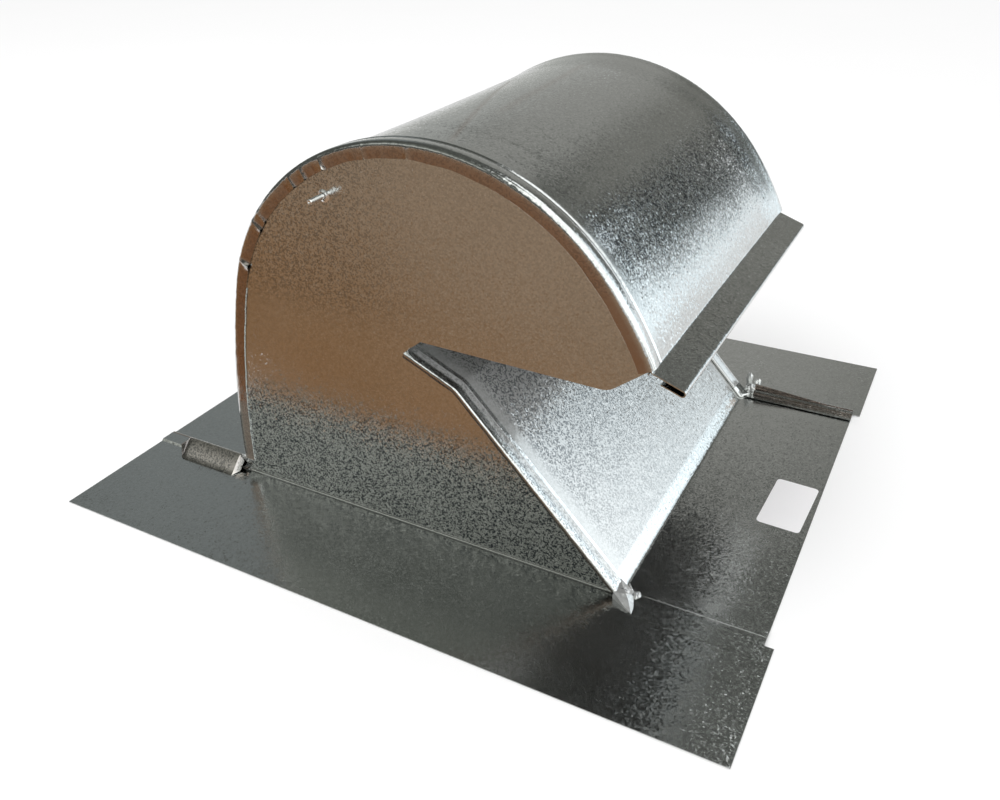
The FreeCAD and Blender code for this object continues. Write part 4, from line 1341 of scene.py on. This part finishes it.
# Azimuth from +Y towards +X, elevation, half width, half height and softness in degrees, how far foliage
# breaks the light up, and its colour
ROOM_LIGHTS = (
    (-30.0, 8.0, 30.0, 17.0, 10.0, 0.0, (0.46, 0.47, 0.45)),
    (-32.0, -6.0, 26.0, 10.0, 8.0, 0.0, (0.66, 0.67, 0.64)),
    (0.0, 22.0, 16.0, 10.0, 6.0, 0.0, (0.24, 0.24, 0.22)),
    (-14.0, 26.0, 12.0, 10.0, 7.0, 0.0, (0.38, 0.38, 0.36)),
    (-52.0, 30.0, 14.0, 12.0, 6.0, 0.0, (0.25, 0.27, 0.27)),
    (-2.0, 1.0, 16.0, 9.0, 3.0, 0.0, (1.8, 1.85, 1.9)),
    (38.0, -2.0, 24.0, 7.0, 2.0, 0.0, (1.26, 1.36, 1.42)),
    (51.0, 28.0, 26.0, 5.0, 1.5, 0.0, (1.3, 1.45, 1.55)),
    (49.5, 7.0, 19.0, 14.5, 2.5, 0.0, (1.40, 1.59, 1.70)),
    (54.0, 9.0, 15.0, 13.0, 4.0, 0.0, (2.1, 2.25, 2.35)),
    (-145.0, 36.0, 26.0, 18.0, 6.0, 0.3, (0.22, 0.235, 0.21)),
    (-150.0, 28.0, 18.0, 8.0, 4.0, 0.4, (0.70, 0.71, 0.66)),
    (-137.0, 28.0, 14.0, 7.0, 5.0, 0.4, (0.75, 0.77, 0.72)),
    (118.0, 42.0, 56.0, 32.0, 7.0, 0.0, (1.9, 1.95, 1.9)),
    (140.0, -14.0, 32.0, 25.0, 6.0, 0.0, (0.72, 0.74, 0.75)),
    (96.0, 2.0, 13.0, 11.0, 3.0, 0.0, (1.7, 1.75, 1.75)),
    (60.0, 46.0, 24.0, 12.0, 3.0, 0.0, (1.6, 1.65, 1.65)),
    (36.0, 60.0, 30.0, 12.0, 3.0, 0.0, (1.7, 1.75, 1.75)),
)
FOLIAGE_SCALE = 11.0
ROOM_COLOUR = (0.105, 0.11, 0.10)
ROOM_RADIUS = 6.0
ROOM_RINGS, ROOM_SPOKES = 24, 72
ROOM_LOWEST = -5


def light_patch_group():
    """Soft-edged window or wall in the room, seen from the middle of the floor."""
    tree, given, result = new_group(
        "light_patch",
        [(label, "NodeSocketFloat", 10.0)
         for label in ("Azimuth", "Elevation", "Half Width", "Half Height", "Softness", "Foliage")],
        [("Mask", "NodeSocketFloat")],
    )
    place = object_place(tree)
    spin = maths(tree, "RADIANS", given.outputs["Azimuth"])
    turned = add_node(tree, "ShaderNodeVectorRotate", {"Vector": place, "Angle": spin},
                      rotation_type="Z_AXIS")
    axes = add_node(tree, "ShaderNodeSeparateXYZ", {0: turned.outputs[0]})
    azimuth = maths(tree, "DEGREES", maths(tree, "ARCTAN2", axes.outputs[0], axes.outputs[1]))
    rise = maths(tree, "DIVIDE", axes.outputs[2], vector_maths(tree, "LENGTH", place))
    elevation = maths(tree, "DEGREES", maths(tree, "ARCSINE", rise))
    lift = maths(tree, "ABSOLUTE", difference(tree, elevation, given.outputs["Elevation"]))
    sides = difference(tree, given.outputs["Half Width"], maths(tree, "ABSOLUTE", azimuth))
    ends = difference(tree, given.outputs["Half Height"], lift)
    inside = maths(tree, "MINIMUM", sides, ends)
    soft = given.outputs["Softness"]
    mask = remap(tree, inside, product(tree, soft, -1.0), soft, 0.0, 1.0, smooth=True)
    heading = vector_maths(tree, "NORMALIZE", place)
    leaves = clouds(tree, heading, FOLIAGE_SCALE, 1.0)
    hidden = product(tree, remap(tree, leaves, 0.44, 0.54, 1.0, 0.0), given.outputs["Foliage"])
    tree.links.new(product(tree, mask, difference(tree, 1.0, hidden)), result.inputs["Mask"])
    return tree


def seen_only_in_gloss(thing):
    """A card that shows in the metal's reflections and nowhere else."""
    for ray in ("visible_camera", "visible_diffuse", "visible_transmission", "visible_volume_scatter",
                "visible_shadow"):
        setattr(thing, ray, False)


def make_room():
    """Soft room round the object, which its metal reflects."""
    group = light_patch_group()
    material = bpy.data.materials.new("room_light")
    tree = node_tree(material)
    colour = list(ROOM_COLOUR) + [1.0]
    for azimuth, elevation, half_width, half_height, softness, foliage, light in ROOM_LIGHTS:
        patch = add_node(tree, "ShaderNodeGroup", node_tree=group)
        for label, value in (("Azimuth", azimuth), ("Elevation", elevation), ("Half Width", half_width),
                             ("Half Height", half_height), ("Softness", softness), ("Foliage", foliage)):
            patch.inputs[label].default_value = value
        colour = blend_colours(tree, patch.outputs["Mask"], colour, list(light) + [1.0])
    glow = add_node(tree, "ShaderNodeEmission", {"Color": colour, "Strength": 1.0})
    add_node(tree, "ShaderNodeOutputMaterial", {"Surface": glow.outputs[0]})
    points, faces = [], []
    rings, spokes = ROOM_RINGS, ROOM_SPOKES
    for ring in range(rings + 1):
        rise = math.radians(ROOM_LOWEST + (90 - ROOM_LOWEST) * ring / rings)
        for spoke in range(spokes):
            turn = 2 * math.pi * spoke / spokes
            points.append(Vector((math.cos(rise) * math.sin(turn), math.cos(rise) * math.cos(turn),
                                  math.sin(rise))) * ROOM_RADIUS)
    for ring in range(rings):
        for spoke in range(spokes):
            after = (spoke + 1) % spokes
            faces.append((ring * spokes + spoke, ring * spokes + after,
                          (ring + 1) * spokes + after, (ring + 1) * spokes + spoke))
    room = mesh_object("room", points, faces, material)
    seen_only_in_gloss(room)
    return room


CARD_NEAR, CARD_FAR, CARD_PATCHES = (0.325, 0.175, 0.082), (0.385, 0.275, 0.19), (0.22, 0.16, 0.10)
CARD_BACK, CARD_FRONT, CARD_OUTER, CARD_INNER, CARD_LEVEL = -2.4, 1.6, -3.2, -0.2115, 0.0001


def make_ground_card():
    """Brown card on the floor at the near side, for the side wall to reflect."""
    material = bpy.data.materials.new("ground_card")
    tree = node_tree(material)
    place = object_place(tree)
    axes = add_node(tree, "ShaderNodeSeparateXYZ", {0: place})
    away = difference(tree, product(tree, axes.outputs[0], 0.45), axes.outputs[1])
    share = remap(tree, away, 0.15, 0.50, 0.0, 1.0, smooth=True)
    cloud = clouds(tree, place, 9.0, 3.0)
    brown = blend_colours(tree, share, (*CARD_NEAR, 1.0), (*CARD_FAR, 1.0))
    shaded = blend_colours(tree, remap(tree, cloud, 0.35, 0.65, 0.0, 0.2), brown, (*CARD_PATCHES, 1.0))
    glow = add_node(tree, "ShaderNodeEmission", {"Color": shaded, "Strength": 1.0})
    add_node(tree, "ShaderNodeOutputMaterial", {"Surface": glow.outputs[0]})
    points = [(CARD_BACK, CARD_OUTER, CARD_LEVEL), (CARD_FRONT, CARD_OUTER, CARD_LEVEL),
              (CARD_FRONT, CARD_INNER, CARD_LEVEL), (CARD_BACK, CARD_INNER, CARD_LEVEL)]
    card = mesh_object("ground_card", points, [(0, 1, 2, 3)], material)
    seen_only_in_gloss(card)
    return card


FLOOR_REACH, FLOOR_LEVEL = 30.0, -0.0002


def make_floor(colour):
    material = bpy.data.materials.new("pale_floor")
    tree = node_tree(material)
    place = object_place(tree)
    grain = clouds(tree, place, 3.0, 2.0)
    tint = blend_colours(tree, grain, [part * 0.985 for part in colour] + [1.0], list(colour) + [1.0])
    shader = add_node(tree, "ShaderNodeBsdfDiffuse", {"Color": tint})
    add_node(tree, "ShaderNodeOutputMaterial", {"Surface": shader.outputs[0]})
    corners = ((-1, -1), (1, -1), (1, 1), (-1, 1))
    points = [(x * FLOOR_REACH, y * FLOOR_REACH, FLOOR_LEVEL) for x, y in corners]
    return mesh_object("floor", points, [(0, 1, 2, 3)], material)


def make_sky(scene, strength):
    """Even white light from all round, plain white behind the object."""
    world = bpy.data.worlds.new("even_sky")
    scene.world = world
    tree = node_tree(world)
    path = add_node(tree, "ShaderNodeLightPath")
    seen = maths(tree, "MAXIMUM", path.outputs["Is Camera Ray"],
                 maths(tree, "MAXIMUM", path.outputs["Is Glossy Ray"], path.outputs["Is Transmission Ray"]))
    level = remap(tree, seen, 0.0, 1.0, strength, 1.0)
    sky = add_node(tree, "ShaderNodeBackground", {"Color": (1.0, 1.0, 1.0, 1.0), "Strength": level})
    add_node(tree, "ShaderNodeOutputWorld", {"Surface": sky.outputs[0]})


CAMERA_PLACE = (0.25956, -0.48873, 0.35473)
CAMERA_TURN = (59.195, 1.096, 28.3)


def make_camera(scene, focal_length):
    lens = bpy.data.cameras.new("camera")
    lens.lens = focal_length
    lens.sensor_width = 36.0
    lens.clip_start = 0.01
    lens.clip_end = 200.0
    camera = bpy.data.objects.new("camera", lens)
    scene.collection.objects.link(camera)
    camera.location = CAMERA_PLACE
    camera.rotation_euler = [math.radians(angle) for angle in CAMERA_TURN]
    scene.camera = camera


LAMP_PLACE = (-0.5, -0.9, 1.9)
LAMP_WIDTH = 1.6


def make_lamp(scene, power):
    """One wide soft lamp over the near side, which doesn't show in the metal."""
    lamp = bpy.data.lights.new("soft_lamp", "AREA")
    lamp.shape = "DISK"
    lamp.size = LAMP_WIDTH
    lamp.energy = power
    holder = bpy.data.objects.new("soft_lamp", lamp)
    scene.collection.objects.link(holder)
    holder.location = LAMP_PLACE
    holder.rotation_euler = (-Vector(holder.location)).to_track_quat("-Z", "Y").to_euler()
    holder.visible_glossy = False


class VENT_OT_finishes(Operator):
    """Make the metal finishes that the pieces share"""

    bl_idname = "vent.finishes"
    bl_label = "Metal finishes"

    def execute(self, context):
        make_finishes(context.scene)
        return {"FINISHED"}


class VENT_OT_side_panels(Operator):
    """Give the side panels and the damper's flap their zinc"""

    bl_idname = "vent.side_panels"
    bl_label = "Side panels and flap"

    def execute(self, context):
        dress_nodes()
        make_flange_bends()
        return {"FINISHED"}


class VENT_OT_hood(Operator):
    """Build the hood's sheet with its hammered locks"""

    bl_idname = "vent.hood"
    bl_label = "Hood"

    def execute(self, context):
        make_hood()
        return {"FINISHED"}


class VENT_OT_throat(Operator):
    """Build the throat's sheet with its locks"""

    bl_idname = "vent.throat"
    bl_label = "Throat"

    def execute(self, context):
        make_throat()
        return {"FINISHED"}


class VENT_OT_crushed_ends(Operator):
    """Crumple the feet of the throat's locks"""

    bl_idname = "vent.crushed_ends"
    bl_label = "Crushed lock ends"

    def execute(self, context):
        make_crushed_ends()
        return {"FINISHED"}


class VENT_OT_damper(Operator):
    """Build the damper's rod and the lips round its holes"""

    bl_idname = "vent.damper"
    bl_label = "Damper rod"

    def execute(self, context):
        make_damper()
        return {"FINISHED"}


class VENT_OT_screen(Operator):
    """Build the bird screen's round wires"""

    bl_idname = "vent.screen"
    bl_label = "Bird screen"

    def execute(self, context):
        make_screen(context.scene)
        return {"FINISHED"}


class VENT_OT_sticker(Operator):
    """Lay the blank sticker on the front flange"""

    bl_idname = "vent.sticker"
    bl_label = "Blank sticker"

    def execute(self, context):
        make_sticker(context.scene)
        return {"FINISHED"}


class VENT_OT_studio(Operator):
    """Build the floor, the light and the camera"""

    bl_idname = "vent.studio"
    bl_label = "Studio"

    def execute(self, context):
        scene = context.scene
        settings = scene.vent_studio
        scene.view_settings.view_transform = "Standard"
        make_floor(settings.floor_colour)
        make_room()
        make_ground_card()
        make_sky(scene, settings.sky_strength)
        make_lamp(scene, settings.lamp_power)
        make_camera(scene, settings.focal_length)
        return {"FINISHED"}


class VENT_PT_sidebar(Panel):
    """Sizes and steps of the roof vent."""

    bl_idname = "VENT_PT_sidebar"
    bl_label = "Roof Vent"
    bl_space_type = "VIEW_3D"
    bl_region_type = "UI"
    bl_category = "Roof Vent"

    def draw(self, context):
        for group in GROUPS:
            settings = getattr(context.scene, group)
            box = self.layout.box()
            for name in settings.__annotations__:
                box.prop(settings, name)
        for operator in OPERATORS:
            self.layout.operator(operator.bl_idname)


GROUPS = {"vent_finish": VentFinish, "vent_screen": VentScreen, "vent_sticker": VentSticker,
          "vent_studio": VentStudio}
OPERATORS = (VENT_OT_finishes, VENT_OT_side_panels, VENT_OT_hood, VENT_OT_throat, VENT_OT_crushed_ends,
             VENT_OT_damper, VENT_OT_screen, VENT_OT_sticker, VENT_OT_studio)


def register():
    for name, group in GROUPS.items():
        bpy.utils.register_class(group)
        setattr(bpy.types.Scene, name, PointerProperty(type=group))
    for piece in OPERATORS + (VENT_PT_sidebar,):
        bpy.utils.register_class(piece)


def unregister():
    for piece in reversed(OPERATORS + (VENT_PT_sidebar,)):
        bpy.utils.unregister_class(piece)
    for name, group in GROUPS.items():
        delattr(bpy.types.Scene, name)
        bpy.utils.unregister_class(group)


def main():
    register()
    for operator in OPERATORS:
        getattr(bpy.ops.vent, operator.bl_idname.split(".")[1])()


if __name__ == "__main__":
    main()
